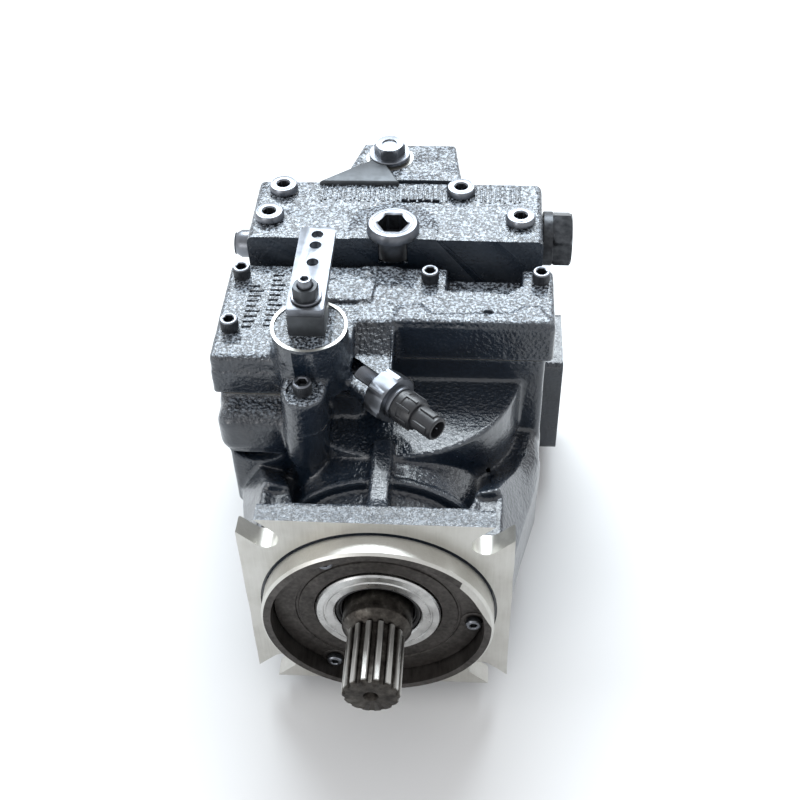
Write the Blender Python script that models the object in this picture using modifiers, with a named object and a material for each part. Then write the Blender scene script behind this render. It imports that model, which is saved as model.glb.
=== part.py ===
"""Closed-circuit axial piston pump with a hand-lever displacement control.

Every object hangs on the empty pump_axis, which stands where the shaft axis meets the face of the
mounting flange. From there +Y runs back along the shaft, +X is to the right seen from the shaft
end, and +Z is up to the control lever. Sizes are in metres.
"""

import math

import bmesh
import bpy
from mathutils import Matrix, Vector

# ---- Driving dimensions -------------------------------------------------------------------

PUMP_AXIS = (0.0, -0.1135, 0.084)  # puts the object's box on the floor, centred on the origin
GAP = 0.0003  # between faces that touch

# Mounting flange, four bolts, and the shaft end
FLANGE_HALF = 0.0726
FLANGE_THICK = 0.013
FLANGE_CORNER = 0.010
SLOT_CENTRE = 0.05725
SLOT_R = 0.0073
PILOT_R = 0.0635
PILOT_HEIGHT = 0.0127
RECESS_R = 0.0580
RECESS_FLOOR = 0.006
SHAFT_TIP = -0.056
SPLINE_R = 0.0156
SPLINE_ROOT_R = 0.0135
SPLINE_TEETH = 14
SPLINE_CREST_TURN = 0.085  # half a tooth at its crest and at its root, in radians
SPLINE_ROOT_TURN = 0.145

# Main casting
BODY_HALF = 0.090
BODY_BOTTOM = -0.084
BODY_REAR = 0.177
UPPER_FRONT = 0.112  # front of the square part above the shelf
SHELF_Z = 0.060
JOINT_Z = 0.076
SHOULDER_R = 0.074
SHOULDER_Y = 0.130
BOSS_R = 0.060

# Rotating group
TILT_Y = 0.105  # tilt axis of the swashplate, and plane of the piston balls
PISTONS = 9
PITCH_R = 0.038
PISTON_R = 0.0095
PISTON_BORE_R = 0.0118
BALL_R = 0.0062
SOCKET_R = 0.0072
SLIPPER_R = 0.0105
CUP_R = 0.0084
SWASH_FACE = 0.0970
CRADLE_R = 0.050
CRADLE_GAP = 0.0008
CRADLE_HALF = 0.043
DISC_R = 0.0497
DISC_BACK = 0.0885
ARM_OUTER = -0.055
BLOCK_FRONT = 0.127
BLOCK_REAR = 0.1706
BLOCK_R = 0.054
SHAFT_R = 0.0156

# Servo cylinder, parallel to the shaft in the upper left of the casting
SERVO_X = -0.072
SERVO_Z = 0.054
SERVO_R = 0.0157
SERVO_HALF = 0.016
PIN_R = 0.004

# Displacement control
CONTROL_HALF = 0.097
CONTROL_TOP = 0.102
CONTROL_REAR = 0.171
LEVER_X = -0.040
LEVER_Y = 0.094
LEVER_BOSS_R = 0.021
LEVER_BOSS_TOP = 0.122
LEVER_Z = 0.137
LEVER_THICK = 0.0045
LEVER_WIDTH = 0.020
LEVER_REACH = 0.061
EAR_X = -0.042
EAR_Y = 0.067
EAR_R = 0.012
EAR_TOP = 0.0985
SWITCH_START = (-0.011, 0.091, 0.086)
SWITCH_TURN = math.radians(-42)

# End cap and charge pump housing
CAP_FRONT = BODY_REAR + 0.0013
CAP_REAR = 0.238
CAP_HALF = 0.088
CAP_TOP = 0.116
PORT_FACE = 0.106
PORT_Y = 0.207
PORT_Z = -0.025
PORT_R = 0.0125
PORT_PAD_Y = 0.026
PORT_PAD_Z = 0.040
PORT_BOLT_Y = 0.0131
PORT_BOLT_Z = 0.0262
ADAPTER_REAR = 0.283
ADAPTER_R = 0.056

# Charge pump gears: six lobes turning in seven
LOBES = 6
LOBE_MEAN_R = 0.0165
LOBE_STEP = 0.0019  # half the lobe height, and the offset between the two gear centres
LOBE_GAP = 0.0008
RING_R = 0.026
GEAR_START = CAP_REAR + 2 * GAP
GEAR_END = 0.258

CARRIER_SCREW_R = 0.0525
CARRIER_SCREW_ANGLES = (-5, 120, 240)
CONTROL_SCREW_END = 0.0675  # lowest point of the control screws, above the servo bore
CONTROL_SCREWS = ((-0.088, 0.158), (-0.088, 0.112), (EAR_X, EAR_Y), (0.022, 0.158), (0.086, 0.159))
CAP_BOLTS = ((-0.080, 0.018), (0.080, 0.018), (-0.070, -0.066), (0.070, -0.066))
MAIN_PLUG = (-0.001, 0.186)
GAUGE_PLUGS = ((-0.076, 0.198), (-0.071, 0.226), (0.038, 0.226), (0.074, 0.198))
RELIEF_YZ = (0.210, 0.094)
SIDE_PLUG_YZ = (0.198, 0.095)
CHARGE_PLUG = (-0.008, 0.263)


# ---- Scene, materials and small tools ------------------------------------------------------


def clear_scene():
    for obj in list(bpy.data.objects):
        bpy.data.objects.remove(obj, do_unlink=True)
    for name in ("axial_piston_pump", "cutters"):
        collection = bpy.data.collections.new(name)
        bpy.context.scene.collection.children.link(collection)


clear_scene()
PARTS = bpy.data.collections["axial_piston_pump"]
CUTTERS = bpy.data.collections["cutters"]
CUTTERS.hide_render = True

DATUM = bpy.data.objects.new("pump_axis", None)
DATUM.location = PUMP_AXIS
PARTS.objects.link(DATUM)


def finish_of(name, colour, roughness, metallic):
    material = bpy.data.materials.new(name)
    material.use_nodes = True
    shader = material.node_tree.nodes["Principled BSDF"]
    shader.inputs["Base Color"].default_value = (*colour, 1.0)
    shader.inputs["Roughness"].default_value = roughness
    shader.inputs["Metallic"].default_value = metallic
    return material


CASTING = finish_of("painted_casting", (0.030, 0.037, 0.047), 0.35, 0.3)
MACHINED = finish_of("machined_iron", (0.55, 0.54, 0.51), 0.38, 1.0)
STEEL = finish_of("bright_steel", (0.62, 0.63, 0.64), 0.28, 1.0)
SCREW_STEEL = finish_of("black_screw_steel", (0.05, 0.05, 0.055), 0.4, 0.8)
SHAFT_STEEL = finish_of("worn_shaft_steel", (0.30, 0.28, 0.26), 0.42, 1.0)
BRONZE = finish_of("bronze", (0.45, 0.30, 0.12), 0.35, 1.0)
RUBBER = finish_of("seal_rubber", (0.015, 0.015, 0.016), 0.6, 0.0)
PLASTIC = finish_of("switch_plastic", (0.02, 0.02, 0.022), 0.45, 0.0)


def add_object(name, data, material=None):
    obj = bpy.data.objects.new(name, data)
    obj.parent = DATUM
    PARTS.objects.link(obj)
    if material:
        data.materials.append(material)
    return obj


def mesh_object(name, bm, material=None):
    mesh = bpy.data.meshes.new(name)
    bm.to_mesh(mesh)
    bm.free()
    return add_object(name, mesh, material)


def box(name, low, high, material=None, bevel=0.0, segments=2):
    """A block between two corners."""
    low, high = Vector(low), Vector(high)
    bm = bmesh.new()
    place = Matrix.Translation((low + high) / 2) @ Matrix.Diagonal((*(high - low), 1.0))
    bmesh.ops.create_cube(bm, size=1.0, matrix=place)
    obj = mesh_object(name, bm, material)
    if bevel:
        soften(obj, bevel, segments)
    return obj


def soften(obj, width, segments=2):
    edge = obj.modifiers.new("edges", "BEVEL")
    edge.width = width
    edge.segments = segments
    edge.limit_method = "ANGLE"
    edge.angle_limit = math.radians(40)


def rod(name, start, end, radius, sides=16, end_radius=None, material=None):
    """A cylinder or cone from start to end."""
    start, end = Vector(start), Vector(end)
    along = end - start
    turn = Vector((0, 0, 1)).rotation_difference(along).to_matrix().to_4x4()
    bm = bmesh.new()
    bmesh.ops.create_cone(
        bm,
        cap_ends=True,
        segments=sides,
        radius1=radius,
        radius2=radius if end_radius is None else end_radius,
        depth=along.length,
        matrix=Matrix.Translation((start + end) / 2) @ turn,
    )
    return mesh_object(name, bm, material)


def turned(name, profile, place, material, steps=24, axis="Y", ring=False):
    """A turned piece on an axis through place. The profile holds (radius, height) points, from the
    far end of the axis to the near end. A ring's profile is closed and stays off the axis."""
    mesh = bpy.data.meshes.new(name)
    count = len(profile)
    edges = [(i, i + 1) for i in range(count - 1)]
    if ring:
        edges.append((count - 1, 0))
    mesh.from_pydata([(radius, 0.0, height) for radius, height in profile], edges, [])
    obj = add_object(name, mesh, material)
    obj.location = place
    obj.rotation_euler = {"X": (0, math.pi / 2, 0), "Y": (-math.pi / 2, 0, 0), "Z": (0, 0, 0)}[axis]
    screw = obj.modifiers.new("turn", "SCREW")
    screw.axis = "Z"
    screw.steps = steps
    screw.render_steps = steps
    screw.use_merge_vertices = True
    screw.merge_threshold = 0.00001
    screw.use_smooth_shade = False
    return obj


def flat(name, outline, low, high, axis="Z", material=None):
    """A flat outline of (across, up) points made thick from low to high along an axis: across and
    up are X and Y for Z, and X and Z for Y."""
    curve = bpy.data.curves.new(name, "CURVE")
    curve.dimensions = "2D"
    curve.fill_mode = "BOTH"
    curve.extrude = (high - low) / 2
    spline = curve.splines.new("POLY")
    spline.points.add(len(outline) - 1)
    for point, (across, up) in zip(spline.points, outline):
        point.co = (across, up, 0.0, 1.0)
    spline.use_cyclic_u = True
    drawn = bpy.data.objects.new(name + "_outline", curve)
    PARTS.objects.link(drawn)
    graph = bpy.context.evaluated_depsgraph_get()
    mesh = bpy.data.meshes.new_from_object(drawn.evaluated_get(graph))
    bpy.data.objects.remove(drawn)
    bm = bmesh.new()
    bm.from_mesh(mesh)
    bmesh.ops.remove_doubles(bm, verts=bm.verts, dist=0.000001)
    bmesh.ops.dissolve_limit(bm, angle_limit=0.001, verts=bm.verts, edges=bm.edges)
    place = Matrix.Translation((0, 0, (low + high) / 2))
    if axis == "Y":
        place = Matrix.Rotation(math.pi / 2, 4, "X") @ Matrix.Translation((0, 0, -(low + high) / 2))
    bm.transform(place)
    bmesh.ops.recalc_face_normals(bm, faces=bm.faces)
    bpy.data.meshes.remove(mesh)
    return mesh_object(name, bm, material)


def arc(centre, radius, first, last, steps):
    """Points on an arc, angles in degrees."""
    turns = (math.radians(first + (last - first) * i / steps) for i in range(steps + 1))
    return [(centre[0] + radius * math.cos(t), centre[1] + radius * math.sin(t)) for t in turns]


def round_box_outline(low, high, top_r, bottom_r, steps=4):
    """A rectangle with round corners, as (across, up) points."""
    (x0, z0), (x1, z1) = low, high
    return (
        arc((x1 - top_r, z1 - top_r), top_r, 0, 90, steps)
        + arc((x0 + top_r, z1 - top_r), top_r, 90, 180, steps)
        + arc((x0 + bottom_r, z0 + bottom_r), bottom_r, 180, 270, steps)
        + arc((x1 - bottom_r, z0 + bottom_r), bottom_r, 270, 360, steps)
    )


def loft(name, sections, material=None):
    """A solid through outlines of (across, up) points at given places along Y."""
    bm = bmesh.new()
    rings = []
    for along, outline in sections:
        rings.append([bm.verts.new((across, along, up)) for across, up in outline])
    for near, far in zip(rings, rings[1:]):
        for i in range(len(near)):
            j = (i + 1) % len(near)
            bm.faces.new((near[i], near[j], far[j], far[i]))
    bm.faces.new(rings[0])
    bm.faces.new(rings[-1])
    bmesh.ops.triangulate(bm, faces=bm.faces)
    bmesh.ops.recalc_face_normals(bm, faces=bm.faces)
    return mesh_object(name, bm, material)


def boolean(obj, tool, operation):
    for collection in tool.users_collection:
        collection.objects.unlink(tool)
    CUTTERS.objects.link(tool)
    tool.hide_render = True
    tool.display_type = "WIRE"
    step = obj.modifiers.new(tool.name, "BOOLEAN")
    step.operation = operation
    step.object = tool
    step.solver = "EXACT"


def cut(obj, *tools):
    for tool in tools:
        boolean(obj, tool, "DIFFERENCE")


def join(obj, *tools):
    for tool in tools:
        boolean(obj, tool, "UNION")


def carry_tools(obj):
    """Makes the object's Boolean tools move with it."""
    for step in obj.modifiers:
        if step.type == "BOOLEAN":
            step.object.parent = obj


def set_origin(obj, point):
    """Moves the object's origin, such as onto its joint's axis, and leaves its shape in place."""
    obj.data.transform(Matrix.Translation(-Vector(point)))
    obj.location = point


def around(radius, degrees):
    """A place round the shaft axis, as (x, z)."""
    turn = math.radians(degrees)
    return radius * math.cos(turn), radius * math.sin(turn)


# ---- Castings -------------------------------------------------------------------------------


def shoulder_outline():
    """The round front of the main casting's shelf, seen from above."""
    front = arc((0.003, SHOULDER_Y), SHOULDER_R, 180, 360, 14)
    return front + [(0.077, BODY_REAR), (-0.071, BODY_REAR)]


def flange_plate(name):
    inner = FLANGE_HALF - FLANGE_CORNER
    corners = (
        (FLANGE_HALF, inner), (inner, FLANGE_HALF), (-inner, FLANGE_HALF), (-FLANGE_HALF, inner),
        (-FLANGE_HALF, -inner), (-inner, -FLANGE_HALF), (inner, -FLANGE_HALF), (FLANGE_HALF, -inner),
    )
    return flat(name, corners, 0.0, FLANGE_THICK, axis="Y", material=CASTING)


def bolt_slot(index, x, z):
    """An open slot for a mounting bolt, from its round end out through the corner, with room
    behind the flange for the bolt head."""
    round_end = rod(f"slot_end_{index}", (x, -0.02, z), (x, 0.045, z), SLOT_R, 16)
    out = Vector((math.copysign(0.03, x), 0, math.copysign(0.03, z)))
    channel = box(f"slot_channel_{index}", (0, -0.02, -SLOT_R), (0.04, 0.045, SLOT_R))
    channel.location = (x, 0, z)
    channel.rotation_euler = (0, -math.atan2(out.z, out.x), 0)
    head_room = rod(f"slot_head_{index}", (x, FLANGE_THICK, z), (x, 0.045, z), 0.0145, 12)
    outer = rod(
        f"slot_clear_{index}",
        (x + out.x * 0.55, FLANGE_THICK, z + out.z * 0.55),
        (x + out.x * 0.55, 0.045, z + out.z * 0.55),
        0.020,
        12,
    )
    return round_end, channel, head_room, outer


def gusset(side):
    """The brace that runs back and down from an upper corner of the flange to the body's side. Each
    section holds its place along Y, the ridge's x and z, and the outer edge's x and z."""
    sections = (
        (0.0125, 0.0520, 0.0710, 0.0724, 0.0310),
        (0.0450, 0.0635, 0.0505, 0.0800, 0.0220),
        (0.0780, 0.0750, 0.0290, 0.0870, 0.0120),
        (0.1050, 0.0800, 0.0120, 0.0895, 0.0050),
    )
    outlines = []
    for along, ridge_x, ridge_z, edge_x, edge_z in sections:
        outline = (
            (ridge_x - 0.020, -0.010), (edge_x, -0.010), (edge_x, edge_z), (ridge_x, ridge_z),
            (ridge_x - 0.020, ridge_z - 0.003),
        )
        outlines.append((along, [(side * across, up) for across, up in outline]))
    return loft(f"gusset_{side}", outlines)


def main_housing():
    body = flange_plate("main_housing")
    sections = (
        (0.008, round_box_outline((-0.063, -0.062), (0.063, 0.030), 0.012, 0.030)),
        (0.050, round_box_outline((-0.077, -0.076), (0.077, 0.028), 0.014, 0.036)),
        (0.100, round_box_outline((-BODY_HALF, BODY_BOTTOM), (BODY_HALF, 0.020), 0.010, 0.040)),
        (BODY_REAR, round_box_outline((-BODY_HALF, BODY_BOTTOM), (BODY_HALF, 0.020), 0.010, 0.040)),
    )
    join(
        body,
        rod("pilot", (0, -PILOT_HEIGHT, 0), (0, 0.004, 0), PILOT_R, 36),
        loft("hull", sections),
        gusset(-1),
        gusset(1),
        rod("front_boss", (0, 0.010, 0), (0, 0.110, 0), BOSS_R, 28),
        flat("shoulder", shoulder_outline(), -0.020, SHELF_Z),
        box(
            "upper_body",
            (-BODY_HALF, UPPER_FRONT, 0.0),
            (BODY_HALF, BODY_REAR, JOINT_Z),
            bevel=0.006,
            segments=1,
        ),
        box("servo_bulge", (-0.094, 0.067, 0.038), (-0.030, BODY_REAR, 0.0745), bevel=0.010),
        box("left_pad", (-0.094, 0.086, 0.045), (-0.013, 0.170, JOINT_Z)),
        box("left_wall", (-0.0885, 0.0703, 0.001), (-0.0405, 0.160, 0.0445), bevel=0.002, segments=1),
        rod("ear_column", (EAR_X, EAR_Y, 0.024), (EAR_X, EAR_Y, JOINT_Z), EAR_R, 16),
        box("top_web", (-0.0055, 0.008, 0.045), (0.0055, 0.066, 0.0655)),
    )
    for index, (sx, sz) in enumerate(((1, 1), (-1, 1), (-1, -1), (1, -1)), 1):
        cut(body, *bolt_slot(index, sx * SLOT_CENTRE, sz * SLOT_CENTRE))
    # Front recess, bearing bore and the hole that the shaft passes through
    cut(
        body,
        rod("recess", (0, -0.02, 0), (0, RECESS_FLOOR, 0), RECESS_R, 36),
        rod("bearing_bore", (0, 0.0, 0), (0, 0.0375, 0), 0.0360, 24),
        rod("shaft_hole", (0, 0.030, 0), (0, 0.070, 0), 0.022, 16),
    )
    # Swash chamber, the cradle for the swashplate and the space for the cylinder block
    front_chamber = rod("front_chamber", (0, 0.0815, 0), (0, 0.130, 0), 0.064, 24)
    cut(front_chamber, box("front_chamber_roof", (-0.1, 0.07, 0.053), (0.1, 0.14, 0.1)))
    cut(
        body,
        rod("cradle", (-0.0445, TILT_Y, 0), (0.0445, TILT_Y, 0), CRADLE_R + CRADLE_GAP, 28),
        front_chamber,
        rod("rear_chamber", (0, 0.122, 0), (0, 0.19, 0), 0.068, 28),
        box("arm_room", (-0.060, 0.0785, 0.008), (-0.038, 0.130, 0.0600)),
        box("pin_room", (-0.074, 0.080, 0.0465), (-0.050, 0.130, 0.0615)),
        rod("servo_bore", (SERVO_X, 0.072, SERVO_Z), (SERVO_X, 0.19, SERVO_Z), 0.0162, 20),
        box("control_window", (-0.028, 0.126, 0.055), (0.028, 0.158, 0.09)),
    )
    for index, angle in enumerate(CARRIER_SCREW_ANGLES, 1):
        x, z = around(CARRIER_SCREW_R, angle)
        cut(body, rod(f"carrier_thread_{index}", (x, 0, z), (x, 0.0125, z), 0.0028, 8))
    for index, (x, y) in enumerate(CONTROL_SCREWS, 1):
        cut(body, rod(f"control_thread_{index}", (x, y, CONTROL_SCREW_END - 0.0007), (x, y, 0.09), 0.0034, 8))
    for index, (x, z) in enumerate(CAP_BOLTS, 1):
        cut(body, rod(f"cap_thread_{index}", (x, 0.154, z), (x, 0.19, z), 0.0062, 10))
    return body


def control_housing():
    body = box(
        "control_housing",
        (-CONTROL_HALF, 0.088, JOINT_Z + GAP),
        (0.004, CONTROL_REAR, CONTROL_TOP),
        CASTING,
        bevel=0.005,
    )
    turn = Vector((math.cos(SWITCH_TURN), math.sin(SWITCH_TURN), 0))
    start = Vector(SWITCH_START)
    join(
        body,
        box("right_block", (-0.02, 0.119, JOINT_Z + GAP), (0.094, CONTROL_REAR, CONTROL_TOP), bevel=0.005),
        rod("lever_boss", (LEVER_X, LEVER_Y, 0.085), (LEVER_X, LEVER_Y, LEVER_BOSS_TOP), LEVER_BOSS_R, 28),
        rod("ear", (EAR_X, EAR_Y, JOINT_Z + GAP), (EAR_X, EAR_Y, EAR_TOP), EAR_R, 16),
        box("ear_root", (EAR_X - 0.012, EAR_Y, JOINT_Z + GAP), (EAR_X + 0.012, 0.095, EAR_TOP)),
        rod("switch_boss", start - turn * 0.012, start + turn * 0.012, 0.0125, 16),
    )
    cut(
        body,
        box("step", (-0.0185, 0.080, 0.0895), (0.01, 0.1185, 0.13)),
        box("underside", (-0.12, 0.04, 0.04), (0.12, 0.2, JOINT_Z + GAP)),
        box("left_cavity", (-0.078, 0.100, 0.07), (-0.024, 0.160, 0.0925)),
        box("right_cavity", (-0.030, 0.127, 0.07), (0.072, 0.160, 0.0885)),
        rod("lever_bore", (LEVER_X, LEVER_Y, 0.08), (LEVER_X, LEVER_Y, 0.13), 0.0075, 12),
        box("crank_room", (LEVER_X - 0.014, 0.092, 0.07), (LEVER_X + 0.014, 0.12, 0.0885)),
        rod("switch_bore", start - turn * 0.02, start + turn * 0.02, 0.0066, 10),
        rod("switch_spot_face", start + turn * 0.012, start + turn * 0.05, 0.0165, 16),
        box("rear_pocket", (0.032, 0.151, 0.092), (0.076, 0.18, 0.11)),
    )
    for index, (x, y) in enumerate(CONTROL_SCREWS, 1):
        cut(body, rod(f"control_hole_{index}", (x, y, 0.07), (x, y, 0.11), 0.0034, 8))
    return body


def end_cap():
    body = box(
        "end_cap",
        (-CAP_HALF, CAP_FRONT, BODY_BOTTOM),
        (CAP_HALF, CAP_REAR, CAP_TOP),
        CASTING,
        bevel=0.004,
        segments=1,
    )
    x, y = MAIN_PLUG
    join(
        body,
        rod("plug_boss", (x, y, 0.1045), (x, y, CAP_TOP), 0.024, 28),
        box("servo_cover", (-0.0935, CAP_FRONT, 0.037), (-0.080, 0.192, 0.074)),
    )
    pad_low, pad_high = PORT_Z - PORT_PAD_Z, PORT_Z + PORT_PAD_Z
    for side in (-1, 1):
        inner, outer = sorted((side * 0.07, side * PORT_FACE))
        join(
            body,
            box(
                f"port_pad_{side}",
                (inner, PORT_Y - PORT_PAD_Y, pad_low),
                (outer, PORT_Y + PORT_PAD_Y, pad_high),
                bevel=0.004,
                segments=1,
            ),
        )
    for side in (-1, 1):
        cut(
            body,
            rod(f"port_{side}", (side * 0.030, PORT_Y, PORT_Z), (side * 0.11, PORT_Y, PORT_Z), PORT_R, 20),
            rod(f"kidney_{side}", (side * 0.035, 0.17, -0.016), (side * 0.035, 0.208, -0.016), 0.0085, 12),
        )
        for up in (-1, 1):
            for along in (-1, 1):
                at_y = PORT_Y + along * PORT_BOLT_Y
                at_z = PORT_Z + up * PORT_BOLT_Z
                thread = rod(
                    f"port_thread_{side}_{up}_{along}",
                    (side * 0.086, at_y, at_z),
                    (side * 0.11, at_y, at_z),
                    0.0050,
                    8,
                )
                cut(body, thread)
    cut(
        body,
        rod("rear_bearing_bore", (0, 0.17, 0), (0, 0.200, 0), 0.0215, 20),
        rod("tail_hole", (0, 0.19, 0), (0, 0.25, 0), 0.0115, 12),
        rod("main_plug_thread", (x, y, 0.098), (x, y, 0.12), 0.0116, 14),
        rod("relief_thread", (0.062, *RELIEF_YZ), (0.1, *RELIEF_YZ), 0.0112, 14),
        rod("side_thread", (-0.074, *SIDE_PLUG_YZ), (-0.1, *SIDE_PLUG_YZ), 0.0056, 10),
    )
    for index, (px, py) in enumerate(GAUGE_PLUGS, 1):
        cut(body, rod(f"gauge_thread_{index}", (px, py, 0.102), (px, py, 0.12), 0.0056, 10))
    for index, (bx, bz) in enumerate(CAP_BOLTS, 1):
        cut(body, rod(f"cap_hole_{index}", (bx, 0.17, bz), (bx, 0.25, bz), 0.0066, 10))
    return body


def charge_pump_housing():
    front, rear = CAP_REAR + GAP, ADAPTER_REAR
    body = rod("charge_pump_housing", (0, front, 0), (0, rear, 0), ADAPTER_R, 32, material=CASTING)
    hump = flat(
        "hump",
        ((-0.039, front), (0.040, front), (0.034, rear - 0.004), (-0.026, rear - 0.004)),
        -0.004,
        CAP_TOP,
    )
    ears = flat(
        "ears",
        round_box_outline((-0.070, -0.022), (0.070, 0.022), 0.021, 0.021),
        front,
        0.256,
        axis="Y",
    )
    join(body, hump, ears)
    x, y = CHARGE_PLUG
    cut(
        body,
        rod("ring_pocket", (LOBE_STEP, 0.23, 0), (LOBE_STEP, GEAR_END + GAP, 0), RING_R + GAP, 28),
        rod("tail_pocket", (0, 0.25, 0), (0, 0.272, 0), 0.0105, 12),
        rod("charge_thread", (x, y, 0.09), (x, y, 0.12), 0.0092, 12),
    )
    return body


# ---- Front seal and bearings ----------------------------------------------------------------


def front_seal():
    plate = turned(
        "front_plate",
        ((0.0576, RECESS_FLOOR - GAP), (0.0576, -0.003), (0.0349, -0.003), (0.0349, RECESS_FLOOR - GAP)),
        (0, 0, 0),
        CASTING,
        steps=32,
        ring=True,
    )
    turned(
        "seal_carrier",
        ((0.0345, 0.0125), (0.0345, -0.0042), (0.0335, -0.0052), (0.0236, -0.0052), (0.0236, 0.0125)),
        (0, 0, 0),
        MACHINED,
        steps=24,
        ring=True,
    )
    turned(
        "shaft_seal",
        ((0.0232, 0.006), (0.0232, -0.004), (0.0205, -0.0025), (0.0197, 0.0015)),
        (0, 0, 0),
        RUBBER,
        steps=24,
        ring=True,
    )
    for index, angle in enumerate(CARRIER_SCREW_ANGLES, 1):
        x, z = around(CARRIER_SCREW_R, angle)
        cut(plate, rod(f"plate_hole_{index}", (x, -0.01, z), (x, 0.01, z), 0.0028, 8))
        screw = socket_screw(f"carrier_screw_{index}", 0.0042, 0.0038, 0.0024, 0.014, 0.0019)
        screw.location = (x, -0.003 - GAP, z)
        screw.rotation_euler = (math.pi / 2, 0, 0)


def bearings():
    turned(
        "front_bearing",
        ((0.0357, 0.0365), (0.0357, 0.0140), (0.030, 0.0130), (0.024, 0.0140), (0.0178, 0.0140),
         (0.0178, 0.0350), (0.024, 0.0365), (0.030, 0.0350)),
        (0, 0, 0),
        STEEL,
        steps=24,
        ring=True,
    )
    turned(
        "rear_bearing",
        ((0.0212, 0.1996), (0.0212, CAP_FRONT + GAP), (0.0173, CAP_FRONT + 0.001), (0.0128, CAP_FRONT + GAP),
         (0.0128, 0.1996), (0.0173, 0.1990)),
        (0, 0, 0),
        STEEL,
        steps=20,
        ring=True,
    )


# ---- Fasteners and plugs --------------------------------------------------------------------


def socket_screw(name, head_r, head_h, shank_r, length, key_r, sides=12):
    """A socket-head screw with its seat at its origin and its head towards local +Z."""
    screw = rod(name, (0, 0, 0), (0, 0, head_h), head_r, sides, material=SCREW_STEEL)
    join(screw, rod(name + "_shank", (0, 0, -length), (0, 0, 0.001), shank_r, 8))
    cut(screw, rod(name + "_key", (0, 0, head_h * 0.4), (0, 0, head_h + 0.002), key_r, 6))
    carry_tools(screw)
    return screw


def socket_plug(name, head_r, head_h, thread_r, length, key_r, sides=20):
    """A port plug with a low round head, a hexagon socket and a threaded end below."""
    chamfer = head_h * 0.2
    plug = turned(
        name,
        ((0, head_h), (head_r - chamfer, head_h), (head_r, head_h - chamfer), (head_r, 0),
         (thread_r, 0), (thread_r, -length), (0, -length)),
        (0, 0, 0),
        STEEL,
        steps=sides,
        axis="Z",
    )
    key = rod(name + "_key", (0, 0, head_h * 0.25 - length * 0.4), (0, 0, head_h + 0.002), key_r, 6)
    key.parent = plug
    cut(plug, key)
    return plug


def hex_plug(name, across_r, hex_h, collar_r, collar_h, thread_r, length):
    """A plug with an outside hexagon on a round collar."""
    plug = rod(name, (0, 0, collar_h - 0.0005), (0, 0, collar_h + hex_h), across_r, 6, material=STEEL)
    join(plug, rod(name + "_collar", (0, 0, 0), (0, 0, collar_h), collar_r, 20))
    join(plug, rod(name + "_thread", (0, 0, -length), (0, 0, 0.0005), thread_r, 12))
    carry_tools(plug)
    return plug


def fasteners():
    for index, (x, y) in enumerate(CONTROL_SCREWS, 1):
        seat = EAR_TOP if (x, y) == (EAR_X, EAR_Y) else CONTROL_TOP
        grip = seat - CONTROL_SCREW_END
        screw = socket_screw(f"control_screw_{index}", 0.0050, 0.0075, 0.0030, grip, 0.0027)
        screw.location = (x, y, seat + GAP)
    for index, (x, z) in enumerate(CAP_BOLTS, 1):
        bolt = socket_screw(f"end_cap_bolt_{index}", 0.0098, 0.0125, 0.0058, 0.080, 0.0055)
        bolt.location = (x, CAP_REAR + GAP, z)
        bolt.rotation_euler = (-math.pi / 2, 0, 0)


def plugs():
    x, y = MAIN_PLUG
    socket_plug("main_port_plug", 0.0155, 0.0060, 0.0112, 0.0155, 0.0080, 20).location = (x, y, CAP_TOP + GAP)
    for index, (px, py) in enumerate(GAUGE_PLUGS, 1):
        plug = socket_plug(f"gauge_plug_{index}", 0.0088, 0.0040, 0.0052, 0.0120, 0.0035, 12)
        plug.location = (px, py, CAP_TOP + GAP)
    relief = hex_plug("relief_valve", 0.0175, 0.0115, 0.0165, 0.0060, 0.0108, 0.024)
    relief.location = (CAP_HALF + GAP, *RELIEF_YZ)
    relief.rotation_euler = (0, math.pi / 2, 0)
    side = socket_plug("side_plug", 0.0085, 0.0105, 0.0052, 0.0120, 0.0035, 12)
    side.location = (-CAP_HALF - GAP, *SIDE_PLUG_YZ)
    side.rotation_euler = (0, -math.pi / 2, 0)
    x, y = CHARGE_PLUG
    charge = hex_plug("charge_relief_plug", 0.0098, 0.0065, 0.0132, 0.0030, 0.0088, 0.020)
    charge.location = (x, y, CAP_TOP + GAP)


# ---- Rotating group -------------------------------------------------------------------------


def spline_outline():
    """Straight-flanked teeth round the shaft end."""
    points = []
    for tooth in range(SPLINE_TEETH):
        middle = 2 * math.pi * tooth / SPLINE_TEETH
        for radius, offset in (
            (SPLINE_ROOT_R, -SPLINE_ROOT_TURN),
            (SPLINE_R, -SPLINE_CREST_TURN),
            (SPLINE_R, SPLINE_CREST_TURN),
            (SPLINE_ROOT_R, SPLINE_ROOT_TURN),
        ):
            points.append((radius * math.cos(middle + offset), radius * math.sin(middle + offset)))
    return points


def drive_shaft():
    tail_end = 0.2700
    shaft = turned(
        "drive_shaft",
        ((0, tail_end), (0.0082, tail_end), (0.0082, 0.1990), (0.0125, 0.1990), (0.0125, 0.1780),
         (SHAFT_R, 0.1770), (SHAFT_R, 0.0385), (0.0192, 0.0385), (0.0192, 0.0368), (0.0175, 0.0368),
         (0.0175, 0.0132), (0.0192, 0.0132), (0.0192, -0.0150), (0.0130, -0.0190), (0.0130, -0.0200),
         (0, -0.0200)),
        (0, 0, 0),
        SHAFT_STEEL,
        steps=20,
    )
    join(shaft, flat("spline", spline_outline(), SHAFT_TIP, -0.0195, axis="Y"))
    cut(shaft, rod("centre_hole", (0, SHAFT_TIP - 0.002, 0), (0, SHAFT_TIP + 0.010, 0), 0.0026, 8))
    return shaft


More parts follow.
